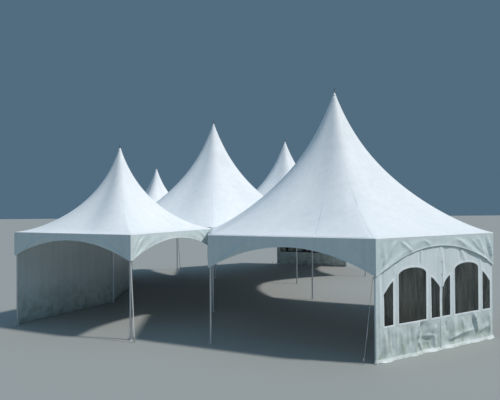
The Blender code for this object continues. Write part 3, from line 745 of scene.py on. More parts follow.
# Valances
# One band of cloth hangs from the eave round each run of free sides, cut to an arch over each side.
# Its top edge is sewn into the cover's roll, and a strap at each corner foot draws it down to the leg.
VALANCE_IN = 0.0490                # legs' line to the middle of the cloth
VALANCE_STAND = 0.010              # how far it stands out where nothing pulls it
VALANCE_MOST = 0.06
VALANCE_UNEVEN = 0.0030
VALANCE_BELLY = 0.006
VALANCE_CLOTH = 0.0024
VALANCE_COLUMNS = 120              # to each side
VALANCE_ROWS = 28
CORNER_DROP = {6: 0.82, 4: 0.68}
CROWN_DROP = {6: 0.24, 4: 0.19}
FAN_DEPTH = 0.028
FOOT_CREASES = 5                   # at each side of a corner foot
FOOT_CREASE_DEPTH = 0.017
VALANCE_HEM_HEIGHT = 0.024
VALANCE_HEM_ROLL = 0.005
CORNER_CORD = 0.0035
CORD_OUT = 0.0015
# Places of a side's creases are (along the side, height), in metres, as the photo shows them;
# the two numbers after them are a crease's width and how far it stands out
RIGHT_VALANCE_CREASES = (
    ((3.84, 2.72), (4.13, 1.92), 0.030, -0.036),
    ((3.93, 2.70), (4.17, 1.98), 0.034, 0.030),
    ((3.54, 2.68), (3.94, 2.02), 0.034, 0.020),
    ((3.68, 2.68), (4.03, 1.98), 0.026, -0.016),
    ((3.26, 2.66), (3.82, 2.18), 0.036, 0.016),
    ((0.70, 2.70), (1.22, 2.36), 0.034, 0.028),
    ((0.86, 2.69), (1.17, 2.41), 0.020, -0.020),
    ((1.48, 2.71), (1.80, 2.50), 0.026, 0.022),
    ((2.70, 2.67), (3.16, 2.42), 0.034, 0.020),
    ((0.20, 2.64), (0.27, 2.00), 0.050, 0.020),
    ((0.52, 2.64), (0.40, 2.05), 0.050, 0.014),
)
CREASED_SIDES = {"front_right": 2, "back_right": 1}     # by their order in the run

# The valance cloth is a darker, blue-green grey copy of the white cover cloth: painted shade and painted sky
# and ground light. Its hem edge is a slightly lighter copy of the same painted shade.
SHADE_PAINTED_VALANCE = cloth_finish("valance_cloth_painted_shade", (0.72, 0.80, 0.80), (0.63, 0.72, 0.72))
SHADE_PAINTED_VALANCE_EDGE = cloth_finish("valance_edge_painted_shade", (0.76, 0.83, 0.83), (0.70, 0.77, 0.77), roughness=0.40,
                            weave=False)


def arch_drop(bay, x, length):
    """Eave to the valance's hem at a distance along a side."""
    count = len(bay["sides"])
    share = np.minimum(1.0, np.abs(x - length / 2) / (length / 2))
    return CROWN_DROP[count] + (CORNER_DROP[count] - CROWN_DROP[count]) * share ** 2


def waves(x, z, seed, count, shortest, longest, lean=0.15):
    """Soft random folds between about -1 and 1, mostly upright."""
    chance = np.random.default_rng(seed)
    total = 0.0
    for number in range(count):
        length = shortest * (longest / shortest) ** chance.random()
        tilt = chance.normal(0.0, lean)
        total = total + np.sin(2 * math.pi * ((x + tilt * z) / length + chance.random()))
    return total / math.sqrt(count)


def smooth_step(value):
    value = np.clip(value, 0.0, 1.0)
    return value * value * (3.0 - 2.0 * value)


def still_edges(x, z, length, top, beside, below):
    """Share of its folds that a hung cloth shows, none at its two ends and its top."""
    return smooth_step(np.minimum(x, length - x) / beside) * smooth_step((top - z) / below)


def hem_roll(radius, height=0.0):
    """The round of a rope in a hem, from one face of the cloth to the other."""
    return [(radius * math.cos(angle), height + radius * math.sin(angle))
            for angle in angles(30.0, -210.0, 8)]


def foot_creases(away, z, low, seed):
    """Short sharp folds that run up from a corner foot, as the strap pulls it down."""
    chance = np.random.default_rng(seed)
    total = 0.0
    for number in range(FOOT_CREASES):
        angle = math.radians(26.0 + 52.0 * (number + 0.6 * chance.random()) / FOOT_CREASES)
        first = 0.16 + 0.10 * chance.random()
        last = first + 0.30 + 0.30 * chance.random()
        depth = FOOT_CREASE_DEPTH * (0.6 + 0.6 * chance.random()) * (-1) ** number
        start, end = [(reach * math.cos(angle), low + reach * math.sin(angle)) for reach in (first, last)]
        total = total + crease(away, z, start, end, 0.022, depth)
    return total


def valance_ripple(bay, run_name, number, x, z, length):
    """How far a valance stands out at a place, from the pull of its corner feet."""
    hem = EAVE - arch_drop(bay, x, length)
    low = EAVE - CORNER_DROP[len(bay["sides"])]
    total = 0.0
    for hand, away in ((0, x), (1, length - x)):
        seed = 40 + 2 * number + hand + 20 * len(run_name)
        angle = np.clip(np.arctan2(z - low + 0.02, np.maximum(away, 0.001)), 0.0, math.pi / 2)
        reach = np.hypot(away, z - low)
        fold = waves(angle, reach * 0.1, seed, 5, 0.22, 0.55) * np.sin(2.0 * angle)
        total = total + fold * np.exp(-reach / 1.2) * np.clip(reach / 0.7, 0.0, 1.0) ** 2
        total = total + foot_creases(away, z, low, seed) / FAN_DEPTH
    total = FAN_DEPTH * total + VALANCE_UNEVEN * waves(x, z, 7 + number, 4, 0.25, 0.9, 0.9)
    belly = VALANCE_BELLY * np.sin(math.pi * np.clip(x / length, 0.0, 1.0)) * (EAVE - z) / (EAVE - hem + 0.01)
    if CREASED_SIDES.get(run_name) == number:
        place = x if run_name == "front_right" else length - x
        for start, end, width, depth in RIGHT_VALANCE_CREASES:
            total = total + crease(place, z, start, end, width, depth)
    total = total * still_edges(x, z, length, EAVE - 0.04, 0.06, 0.12) + belly + VALANCE_STAND
    pressed = VALANCE_STAND * np.exp(np.minimum(total, VALANCE_STAND) / VALANCE_STAND - 1.0)
    return np.minimum(np.where(total > VALANCE_STAND, total, pressed), VALANCE_MOST)


face = VALANCE_CLOTH / 2 + 0.0002
hem_flap = [(face + 0.0016, VALANCE_HEM_HEIGHT), (face + 0.0018, VALANCE_HEM_ROLL)]
hem_profile = hem_flap + hem_roll(VALANCE_HEM_ROLL) + [(-out, z) for out, z in reversed(hem_flap)]
shares = np.arange(VALANCE_ROWS + 1) / VALANCE_ROWS
for run_name, (bay_name, numbers) in VALANCE_RUNS.items():
    bay = bays[bay_name]
    columns = []
    leans = []
    outward_ways = []
    for order, number in enumerate(numbers):
        side = bay["sides"][number]
        spots, ways = mitred_ends(bay, side, 0.0)
        for step in np.arange(1 if columns else 0, VALANCE_COLUMNS + 1) / VALANCE_COLUMNS:
            spot = spots[0].lerp(spots[1], step)
            lean = ways[0].lerp(ways[1], step)
            x = (spot + lean * VALANCE_IN - side["start"]).dot(side["along"])
            heights = EAVE - 0.002 - (float(arch_drop(bay, x, side["length"])) - 0.002) * shares
            out = VALANCE_IN + valance_ripple(bay, run_name, order, x, heights, side["length"])
            columns.append(np.stack([spot.x + lean.x * out, spot.y + lean.y * out, heights], axis=-1))
            leans.append(at_height(lean))
            outward_ways.append(at_height(side["outward"]))
    points = np.stack(columns, axis=1)
    valance = add_piece("valance_cloth_" + run_name, grid_shape(points), SHADE_PAINTED_VALANCE, 50.0)
    surface = thicken(valance, VALANCE_CLOTH)
    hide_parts("valance_" + run_name)
    stations = []
    for spot, above, outward in zip(points[-1], points[-2], outward_ways):
        up = Vector(above - spot).normalized()
        stations.append((Vector(spot), (outward - up * outward.dot(up)).normalized(), up))
    with_pieces = [add_piece("valance_hem_" + run_name, swept(stations, hem_profile), SHADE_PAINTED_VALANCE_EDGE,
                             45.0)]
    cords = []
    for column in range(VALANCE_COLUMNS, len(columns) - 1, VALANCE_COLUMNS):
        path = [Vector(spot) + leans[column] * CORD_OUT for spot in points[2:, column]]
        cords.append(wire(path, CORNER_CORD))
    if cords:
        with_pieces.append(add_piece("valance_corners_" + run_name, merged(cords), WELD_WHITE))
    length = sum(bay["sides"][number]["length"] for number in numbers) + TURNED_IN


# Valance straps
# A short strap of woven webbing is sewn to each corner foot of the valances and goes once round the
# leg, to draw the arch down tight.
BAND_HALF_HEIGHT = 0.0125
BAND_FACE = TUBE_RADIUS + 0.0024
TAB_RISE = 0.030


def woven_finish(name, colour, dark):
    """Flat woven webbing: close cross ribs and a slightly worn face."""
    material, shader, place = start_material(name)
    worn = noise(material, place, 14.0, detail=5.0)
    fill_sockets(material, shader, {
        "Base Color": blend_colours(material, worn, colour, dark),
        "Roughness": 0.85,
        "Normal": relief(material, ribs(material, place, 110.0, 1.2, "Z"), 0.5, 0.0008),
    })
    return material


WEBBING = woven_finish("pale_webbing", (0.70, 0.71, 0.69), (0.55, 0.56, 0.54))

bands = {}
for bay_name, numbers in VALANCE_RUNS.values():
    for number in numbers:
        side = bays[bay_name]["sides"][number]
        for leg in side["ends"]:
            drop = CORNER_DROP[len(bays[bay_name]["sides"])]
            bands.setdefault((leg, drop), []).append(side["outward"])
shapes = []
for (leg, drop), directions in bands.items():
    middle = at_height(leg_place[leg], EAVE - drop - 0.012)
    shapes.append(turned(both_ends([(TUBE_RADIUS + 0.0002, -BAND_HALF_HEIGHT),
                                    (BAND_FACE, 0.001 - BAND_HALF_HEIGHT)]), middle))
    outward = at_height(sum(directions, Vector((0.0, 0.0))).normalized())
    across = left_of(outward)
    tab = [(middle + outward * (TUBE_RADIUS + 0.006), across, outward * 0.3 + UP),
           (middle + outward * (VALANCE_IN - 0.001) + UP * TAB_RISE, across, outward + UP * 0.3)]
    shapes.append(swept(tab, [(-0.010, -0.001), (0.010, -0.001), (0.010, 0.001), (-0.010, 0.001)]))
add_piece("valance_straps", merged(shapes), WEBBING)


# Walls
# Plain wall cloths close the left side. Each hangs from the eave tube on a strip of hook tape, laps
# round the outer leg, and has a roped hem that rests on the ground.
WALL_LINE = 0.0306                 # legs' line to the middle of the cloth
WALL_CLOTH = 0.0022
WALL_TOP = EAVE - 0.006
WALL_LOW = 0.0100
WALL_CLEAR = 0.014                 # leg's middle to a wall that ends beside it
LAP = 0.052                        # cloth wrapped past a leg's middle
LAP_COLUMNS = 7
FLARE_HEIGHT = 0.13
FLARE_REACH = 0.045
WALL_CELL = 0.040
HEM_ROLL = 0.0080
HEM_FLAP = 0.0022
WALL_HEM_HEIGHT = 0.060
PLATE_RIDE = 0.0080                # how far the foot of a wall rides up over a leg's plate
WALL_SEAM = ((-0.016, 0.0012), (-0.014, 0.0032), (0.014, 0.0032), (0.016, 0.0012))     # (across, out)
WALL_SEAM_SHARES = (0.335, 0.665)
# Kinds of folds: how deep, how many together, the shortest, the longest and how much they lean
WALL_FOLDS = ((0.003, 5, 0.35, 1.1, 0.15), (0.013, 6, 0.28, 1.3, 0.15), (0.003, 6, 0.10, 0.30, 0.7))
WALL_SEED = 200
PLAIN_WALLS = {                    # each bay's side, and where the cloth ends past its two legs
    "centre": (3, WALL_CLEAR, WALL_CLEAR),
    "front_left": (1, WALL_CLEAR, -LAP),
    "back_left": (2, -LAP, WALL_CLEAR),
}

# On the walls these blotches reach 1.2 m up: partly soil, partly painted fold shadow and painted green ground
# light.
WALL_WHITE = cloth_finish("white_wall_cloth", (0.81, 0.875, 0.88), (0.70, 0.775, 0.775), soil_and_shade_height=1.20)
HEM_WHITE = cloth_finish("white_wall_hem", (0.84, 0.88, 0.88), (0.77, 0.81, 0.81), soil_and_shade_height=0.10,
                         roughness=0.38, weave=False)


def hanging_folds(x, z, seed, kinds):
    """Folds of a hung wall; all but the first kind grow deeper towards its foot."""
    hang = smooth_step((WALL_TOP - z) / WALL_TOP)
    total = 0.0
    for number, (depth, *numbers) in enumerate(kinds):
        total = total + depth * (hang if number else 1.0) * waves(x, z, seed + number, *numbers)
    return total


def wall_place(side, x, z, out, folds):
    """World places on a wall cloth; x runs from the side's first leg, and past a leg it wraps round."""
    length = side["length"]
    flare = FLARE_REACH * np.clip((FLARE_HEIGHT - z) / FLARE_HEIGHT, 0.0, 1.0) ** 2
    stand = WALL_LINE + out + folds(x, z) + flare * (1.0 + 0.5 * waves(x, 0.0, 91, 4, 0.4, 1.2))
    turn = np.where(x < 0.0, -x, np.where(x > length, x - length, 0.0)) / (WALL_LINE + 0.002)
    hand = np.where(x < 0.0, -1.0, 1.0)
    forward = np.clip(x, 0.0, length) + hand * stand * np.sin(turn)
    outward = stand * np.cos(turn)
    spots = np.zeros(np.shape(forward) + (3,))
    for axis in (0, 1):
        spots[..., axis] = (side["start"][axis] + side["along"][axis] * forward
                            + side["outward"][axis] * outward)
    near = np.clip(np.minimum(x, length - x), 0.0, None)
    spots[..., 2] = z + PLATE_RIDE * smooth_step((0.15 - near) / 0.06) * np.clip((0.10 - z) / 0.08, 0.0, 1.0)
    return spots


def wall_grid(left, right, length, cell):
    """Places over a wall, closer together where the cloth laps round a leg."""
    first = max(left, 0.0)
    last = min(right, length)
    columns = np.linspace(first, last, round((last - first) / cell) + 1)
    for lap in ((left, first), (last, right)):
        columns = np.union1d(columns, np.linspace(*lap, LAP_COLUMNS))
    rows = np.linspace(WALL_LOW, WALL_TOP, round((WALL_TOP - WALL_LOW) / cell) + 1)
    return np.meshgrid(columns, rows)


def upright_strip(side, middle, heights, section, folds):
    """A strip up a wall, of a section given as (across, out) pairs."""
    lines = [wall_place(side, np.full(len(heights), middle + across), heights, out, folds)
             for across, out in section]
    return grid_shape(np.stack(lines, axis=1))


def add_hem(name, side, columns, folds, height):
    """The roped sleeve along a wall's foot, which follows the cloth's folds on both faces."""
    face = WALL_CLOTH / 2 + HEM_FLAP
    flap = [(WALL_CLOTH / 2 + 0.0003, height), (face, height - 0.005), (face, height * 0.7),
            (face, height * 0.4)]
    profile = flap + hem_roll(HEM_ROLL, WALL_LOW) + [(-out, z) for out, z in reversed(flap)]
    rows = [wall_place(side, columns, np.full(len(columns), z), out, folds) for out, z in profile]
    shape = grid_shape(np.stack(rows, axis=1), closed=True, ends="capped")
    return add_piece(name, shape, HEM_WHITE, 45.0)


for order, (bay_name, (number, clear_start, clear_end)) in enumerate(PLAIN_WALLS.items()):
    side = bays[bay_name]["sides"][number]
    length = side["length"]

    def folds(x, z, length=length, seed=WALL_SEED + 10 * order):
        return hanging_folds(x, z, seed, WALL_FOLDS) * still_edges(x, z, length, WALL_TOP, 0.16, 0.12)

    x, z = wall_grid(clear_start, length - clear_end, length, WALL_CELL)
    wall = add_piece("wall_cloth_" + bay_name, grid_shape(wall_place(side, x, z, 0.0, folds)), WALL_WHITE,
                     60.0)
    thicken(wall, WALL_CLOTH)
    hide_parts("wall_" + bay_name)
    hem = add_hem("wall_hem_" + bay_name, side, x[0], folds, WALL_HEM_HEIGHT)
    strips = [upright_strip(side, share * length, np.linspace(0.08, WALL_TOP, 50), WALL_SEAM, folds)
              for share in WALL_SEAM_SHARES]
    seams = add_piece("wall_seams_" + bay_name, merged(strips), WELD_WHITE)


# Window walls
# Two window panels, each with an arched window between two half windows, are laced together down the
# middle of the side. White welts are welded round the windows, and clear vinyl sheet closes them.
WINDOW_WALLS = {"front_right": (5, False), "back_right": (1, True)}
PANEL_CENTRES = (1.17, 3.15)
WINDOW_WIDTH = 0.94
WINDOW_SILL = 0.79
WINDOW_SPRING = 1.88
WINDOW_CROWN = 2.035
HALF_LIGHT_NEAR = 0.64
HALF_LIGHT_FAR = 0.95
HALF_LIGHT_HIGH = 1.77
HALF_LIGHT_LOW = 1.49
HALF_LIGHT_CURVE = 1.4
HALF_LIGHT_STEPS = 6
WINDOW_CELL = 0.026
WELT_SECTION = ((-0.004, -0.0010), (-0.004, 0.0034), (0.003, 0.006), (0.037, 0.006), (0.045, 0.0034),
                (0.045, -0.0002))  # (across, out)
WELT_PITCH = 0.03
WELT_MITRE = 0.45                  # keeps the welt of a sharp corner from reaching too far out
HOLE_DEPTH = 0.1
FLAP_SECTION = ((-0.045, 0.0014), (-0.042, 0.0050), (0.0, 0.0075), (0.036, 0.0055), (0.040, 0.0014))
LACE_PLACE = 2.16                  # where the two panels meet
LACE_PITCH = 0.30
LACE_WIRE = 0.0022
LACE_HALF = (0.010, 0.022)
LACE_ACROSS = 0.030
LACE_OUT = 0.0085
LACE_LOW = 0.30
LACE_BELOW_TOP = 0.45
WINDOW_HEM_HEIGHT = 0.075
CLEAR_MARGIN = 0.055
CLEAR_BEHIND = 0.0060
CLEAR_THICKNESS = 0.0012
SLACK_BELOW = 2.2                  # how much deeper the creases lie than listed, below the windows
SLACK_ABOVE = 1.5
STIFF_SHARE = 0.35                 # share of its folds that the cloth keeps beside a window
STIFF_REACH = 0.10
SHEET_RIPPLE = 0.0008
WINDOW_WALL_FOLDS = ((0.004, 5, 0.25, 0.9, 0.15), (0.010, 6, 0.30, 1.2, 0.15), (0.0022, 5, 0.12, 0.30, 1.2))
WINDOW_WALL_SEED = 301
SWING_OUT = 0.070
SWING_OUT_TOP = 0.011              # under the valance
SWING_IN = 0.090
# Places are (along the side from the near corner, height), in metres, as the photo shows them
WINDOW_WALL_CREASES = (
    ((0.185, 2.08), (0.195, 1.30), 0.034, -0.012),
    ((0.09, 2.10), (0.10, 0.40), 0.035, 0.014),
    ((1.42, 2.44), (1.415, 2.04), 0.014, -0.014),
    ((1.47, 2.48), (1.46, 2.05), 0.028, 0.010),
    ((2.165, 2.52), (2.155, 0.55), 0.020, -0.015),
    ((2.22, 2.50), (2.24, 1.10), 0.030, 0.018),
    ((2.10, 2.50), (2.09, 1.30), 0.034, 0.012),
    ((2.29, 2.50), (2.37, 1.78), 0.020, -0.012),
    ((2.87, 2.42), (2.93, 2.02), 0.018, -0.014),
    ((2.93, 2.40), (3.12, 2.02), 0.024, 0.013),
    ((0.60, 2.34), (0.55, 1.86), 0.040, 0.008),
    ((3.66, 2.36), (3.74, 1.70), 0.030, 0.009),
    ((0.32, 0.80), (0.43, 0.10), 0.022, -0.014),
    ((0.22, 0.78), (0.28, 0.08), 0.045, 0.013),
    ((0.62, 0.74), (0.66, 0.08), 0.040, 0.010),
    ((0.95, 0.76), (0.98, 0.10), 0.045, -0.008),
    ((1.39, 0.74), (1.31, 0.33), 0.022, 0.024),
    ((1.31, 0.36), (1.52, 0.05), 0.026, 0.028),
    ((1.50, 0.76), (1.47, 0.42), 0.040, -0.022),
    ((1.98, 0.62), (1.86, 0.40), 0.030, 0.016),
    ((0.44, 0.70), (0.52, 0.12), 0.020, -0.012),
    ((0.78, 0.66), (0.84, 0.16), 0.022, 0.012),
    ((1.10, 0.70), (1.14, 0.20), 0.020, -0.010),
    ((2.34, 0.70), (2.40, 0.36), 0.024, -0.012),
    ((2.96, 0.70), (3.02, 0.40), 0.022, 0.010),
    ((1.55, 0.395), (1.97, 0.375), 0.024, 0.022),
    ((1.955, 0.40), (1.95, 0.06), 0.026, 0.018),
    ((1.76, 0.30), (1.82, 0.05), 0.030, 0.014),
    ((2.42, 0.20), (2.97, 0.31), 0.028, 0.018),
    ((2.90, 0.30), (3.48, 0.34), 0.030, 0.016),
    ((3.42, 0.80), (3.58, 0.19), 0.024, 0.024),
    ((3.36, 0.72), (3.50, 0.20), 0.030, -0.012),
    ((3.60, 0.22), (4.05, 0.40), 0.034, 0.014),
    ((4.04, 0.74), (4.10, 0.12), 0.030, 0.014),
    ((2.60, 0.72), (2.64, 0.34), 0.045, 0.008),
)
WINDOW_WALL_HOLLOWS = (            # (middle), (half width, half height), depth
    ((1.70, 0.26), (0.26, 0.22), -0.110),
    ((2.90, 0.16), (0.46, 0.09), -0.045),
    ((3.85, 0.20), (0.22, 0.10), -0.035),
    ((1.60, 0.62), (0.22, 0.10), -0.024),
)
# Near-black tint of the clear sheet, painted shade of the dark room behind it, and paler streaks, painted
# reflection.
VINYL_PAINTED_SHADE = (0.032, 0.040, 0.039)
VINYL_PAINTED_REFLECTION = (0.15, 0.16, 0.148)

WELT_WHITE = cloth_finish("white_window_welt", (0.86, 0.91, 0.92), (0.80, 0.85, 0.86), roughness=0.34,
                          weave=False)


def clear_finish(name):
    """Clear vinyl sheet, tinted near black as painted shade of the dark room behind it, with paler upright
    streaks as painted reflection, and the upright ripples it keeps from being rolled.
    """
    material, shader, place = start_material(name)
    ripple = noise(material, place, (7.0, 7.0, 1.1), detail=3.0, distortion=0.6)
    painted_reflection_streaks = ranged(material, ripple, (0.38, 0.66), (0.0, 1.0))
    fill_sockets(material, shader, {
        "Transmission Weight": 1.0,
        "IOR": 1.45,
        "Base Color": blend_colours(material, painted_reflection_streaks, VINYL_PAINTED_SHADE, VINYL_PAINTED_REFLECTION),
        "Roughness": ranged(material, ripple, (0.3, 0.8), (0.02, 0.10)),
        "Normal": relief(material, ripple, 0.9, 0.030),
    })
    return material


CLEAR_VINYL = clear_finish("clear_vinyl")


def window_outline(middle):
    """Window with a low arched head."""
    half = WINDOW_WIDTH / 2
    rise = WINDOW_CROWN - WINDOW_SPRING
    head = [(middle + half * math.cos(angle), WINDOW_SPRING + rise * math.sin(angle))
            for angle in angles(0.0, 180.0, 12)]
    return [(middle - half, WINDOW_SILL), (middle + half, WINDOW_SILL)] + head


def half_light_outline(middle, hand):
    """Half window, pointed beside the window and curved down to its far edge."""
    near = middle + hand * HALF_LIGHT_NEAR
    far = middle + hand * HALF_LIGHT_FAR
    points = [(near, WINDOW_SILL), (near, HALF_LIGHT_HIGH)]
    for step in range(1, HALF_LIGHT_STEPS):
        share = step / HALF_LIGHT_STEPS
        points.append((near + (far - near) * share,
                       HALF_LIGHT_HIGH - (HALF_LIGHT_HIGH - HALF_LIGHT_LOW) * share ** HALF_LIGHT_CURVE))
    points += [(far, HALF_LIGHT_LOW), (far, WINDOW_SILL)]
    return points if hand < 0 else points[::-1]


def window_folds(x, z, length, mirrored):
    """Folds of a window wall: loose at the foot, stiff round the clear windows."""
    place = length - x if mirrored else x
    folds = hanging_folds(place, z, WINDOW_WALL_SEED, WINDOW_WALL_FOLDS)
    for start, end, width, depth in WINDOW_WALL_CREASES:
        slack = SLACK_BELOW if start[1] < WINDOW_SILL + 0.1 else SLACK_ABOVE
        folds = folds + slack * crease(place, z, start, end, width, depth)
    for (middle, height), (wide, tall), depth in WINDOW_WALL_HOLLOWS:
        folds = folds + depth * np.exp(-((place - middle) / wide) ** 2 - ((z - height) / tall) ** 2)
    stiff = 1.0
    for middle in PANEL_CENTRES:
        away = (np.abs(place - middle) - WINDOW_WIDTH / 2, z - WINDOW_CROWN, WINDOW_SILL - z)
        loose = sum(smooth_step(gap / STIFF_REACH) for gap in away)
        stiff = stiff * (STIFF_SHARE + (1.0 - STIFF_SHARE) * np.clip(loose, 0.0, 1.0))
    folds = folds * stiff * still_edges(x, z, length, WALL_TOP, 0.07, 0.10)
    arch = EAVE - arch_drop(bays["front_right"], x, length)
    room = SWING_OUT - (SWING_OUT - SWING_OUT_TOP) * smooth_step((z - arch + 0.06) / 0.06)
    return np.where(folds > 0.0, np.minimum(folds, room), np.maximum(folds, -SWING_IN))


def fine_outline(outline):
    """An outline with more points along its straight stretches, kept as (place, way out) pairs."""
    stations = []
    for index, (x, z) in enumerate(outline):
        x1, z1 = outline[(index + 1) % len(outline)]
        x0, z0 = outline[index - 1]
        into = Vector((x - x0, z - z0)).normalized()
        onward = Vector((x1 - x, z1 - z))
        steps = max(1, round(onward.length / WELT_PITCH))
        onward.normalize()
        out = Vector((onward.y, -onward.x))
        bend = Vector((into.y + onward.y, -into.x - onward.x)).normalized()
        stations.append(((x, z), bend / max(WELT_MITRE, bend.dot(out))))
        for step in range(1, steps):
            share = step / steps
            stations.append(((x + (x1 - x) * share, z + (z1 - z) * share), out))
    return stations


def cut_windows(piece, outlines):
    """Cut the window holes out of the flat wall cloth."""
    prisms = [grid_shape([[(x, depth, z) for x, z in outline] for depth in (-HOLE_DEPTH, HOLE_DEPTH)],
                         closed=True, ends="capped") for outline in outlines]
    holes = add_shape("window_holes", merged(prisms))
    cut = piece.modifiers.new("windows", "BOOLEAN")
    cut.operation = "DIFFERENCE"
    cut.solver = "EXACT"
    cut.object = holes
    apply_modifiers(piece)
    bpy.data.objects.remove(holes, do_unlink=True)


for bay_name, (number, mirrored) in WINDOW_WALLS.items():
    side = bays[bay_name]["sides"][number]
    length = side["length"]
    outlines = []
    for middle in PANEL_CENTRES:
        outlines += [window_outline(middle), half_light_outline(middle, -1), half_light_outline(middle, 1)]
    if mirrored:
        outlines = [[(length - x, z) for x, z in outline[::-1]] for outline in outlines]

    def folds(x, z, length=length, mirrored=mirrored):
        return window_folds(x, z, length, mirrored)

    x, z = wall_grid(-LAP, length + LAP, length, WINDOW_CELL)
    flat_cloth = grid_shape(np.stack([x, np.zeros_like(x), z], axis=-1))
    wall = add_piece("window_wall_cloth_" + bay_name, flat_cloth, WALL_WHITE, 60.0)
    thicken(wall, WALL_CLOTH)
    cut_windows(wall, outlines)
    surface = surface_area(wall) / 2
    flat_points = np.zeros(len(wall.data.vertices) * 3)
    wall.data.vertices.foreach_get("co", flat_points)
    flat_points = flat_points.reshape(-1, 3)
    hung = wall_place(side, flat_points[:, 0], flat_points[:, 2], -flat_points[:, 1], folds)
    wall.data.vertices.foreach_set("co", hung.ravel())
    face_outwards(wall.data, split_large=True)
    wall.data.shade_smooth()
    wall.data.set_sharp_from_angle(angle=math.radians(60.0))
    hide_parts("window_wall_" + bay_name)

    welt_shapes = []
    for outline in outlines:
        stations = fine_outline(outline)
        lines = []
        for across, out in WELT_SECTION:
            places = np.array([(x + bend.x * across, z + bend.y * across) for (x, z), bend in stations])
            lines.append(wall_place(side, places[:, 0], places[:, 1], out, folds))
        welt_shapes.append(grid_shape(np.stack(lines, axis=1), closed=True, ends="joined"))
    welts = add_piece("window_welts_" + bay_name, merged(welt_shapes), WELT_WHITE, 40.0)

    place = length - LACE_PLACE if mirrored else LACE_PLACE
    strip = upright_strip(side, place, np.linspace(0.05, WALL_TOP - 0.02, 90), FLAP_SECTION, folds)
    flap = add_piece("window_flap_" + bay_name, strip, WALL_WHITE, 60.0)
    loops = []
    for height in np.arange(LACE_LOW, WALL_TOP - LACE_BELOW_TOP, LACE_PITCH):
        loop = [wall_place(side, np.array(place + LACE_ACROSS + LACE_HALF[0] * math.cos(angle)),
                           np.array(height + LACE_HALF[1] * math.sin(angle)), LACE_OUT, folds)
                for angle in angles(0.0, 360.0, 9)[:-1]]
        loops.append(wire(loop, LACE_WIRE, 6, closed=True))
    laces = add_piece("window_laces_" + bay_name, merged(loops), ELASTIC)
    hem = add_hem("window_wall_hem_" + bay_name, side, x[0], folds, WINDOW_HEM_HEIGHT)

    left = min(PANEL_CENTRES) - HALF_LIGHT_FAR - CLEAR_MARGIN
    right = max(PANEL_CENTRES) + HALF_LIGHT_FAR + CLEAR_MARGIN
    if mirrored:
        left, right = length - right, length - left
    columns = x[0][(x[0] > left) & (x[0] < right)]
    rows = z[:, 0][(z[:, 0] > WINDOW_SILL - CLEAR_MARGIN) & (z[:, 0] < WINDOW_CROWN + CLEAR_MARGIN)]
    x, z = np.meshgrid(columns, rows)
    ripple = SHEET_RIPPLE * (waves(x, z, 401, 5, 0.10, 0.35) - 1.0)
    clear_shape = grid_shape(wall_place(side, x, z, ripple - CLEAR_BEHIND, folds))
    sheet = add_piece("window_clear_" + bay_name, clear_shape, CLEAR_VINYL, 80.0)
    thicken(sheet, CLEAR_THICKNESS)
    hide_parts("window_sheet_" + bay_name)


# Ground stays
# Four corner legs are tied down by a flat strap of webbing from a ring on the leg, through a small
# cam buckle, to a steel stake driven into the ground beside the foot plate.
STAYS = {                          # leg, heading, reach of the stake, eave to the ring's lug
    "front_left": ("front_left_3", -65.0, 0.35, 0.68),
    "back_left": ("back_left_1", 65.0, 0.35, 0.68),
    "front_right": ("front_right_5", -175.0, 0.28, 0.82),
    "back_right": ("back_right_2", 175.0, 0.28, 0.82),
}
STRAP_HALF = 0.0125
STRAP_FACE = 0.0011
LUG_REACH = 0.0555                 # leg's middle to the face of its strap ring
STAY_HEAD_BELOW = 0.040
STAKE_RADIUS = 0.0115
STAKE_TOP = 0.14
STAKE_GRIP = 0.10
STAKE_OUTLINE = ((0.008, 0.0), (STAKE_RADIUS, 0.002), (STAKE_RADIUS, STAKE_TOP - 0.014),
                 (STAKE_RADIUS + 0.008, STAKE_TOP - 0.012), (STAKE_RADIUS + 0.009, STAKE_TOP - 0.003),
                 (STAKE_RADIUS + 0.005, STAKE_TOP))
BUCKLE_PLACE = 0.60                # share of the strap's length
BUCKLE_HALF = (0.018, 0.022)
TAIL_PLACE = 0.62
RING_PLACE = TUBE_RADIUS + 0.016

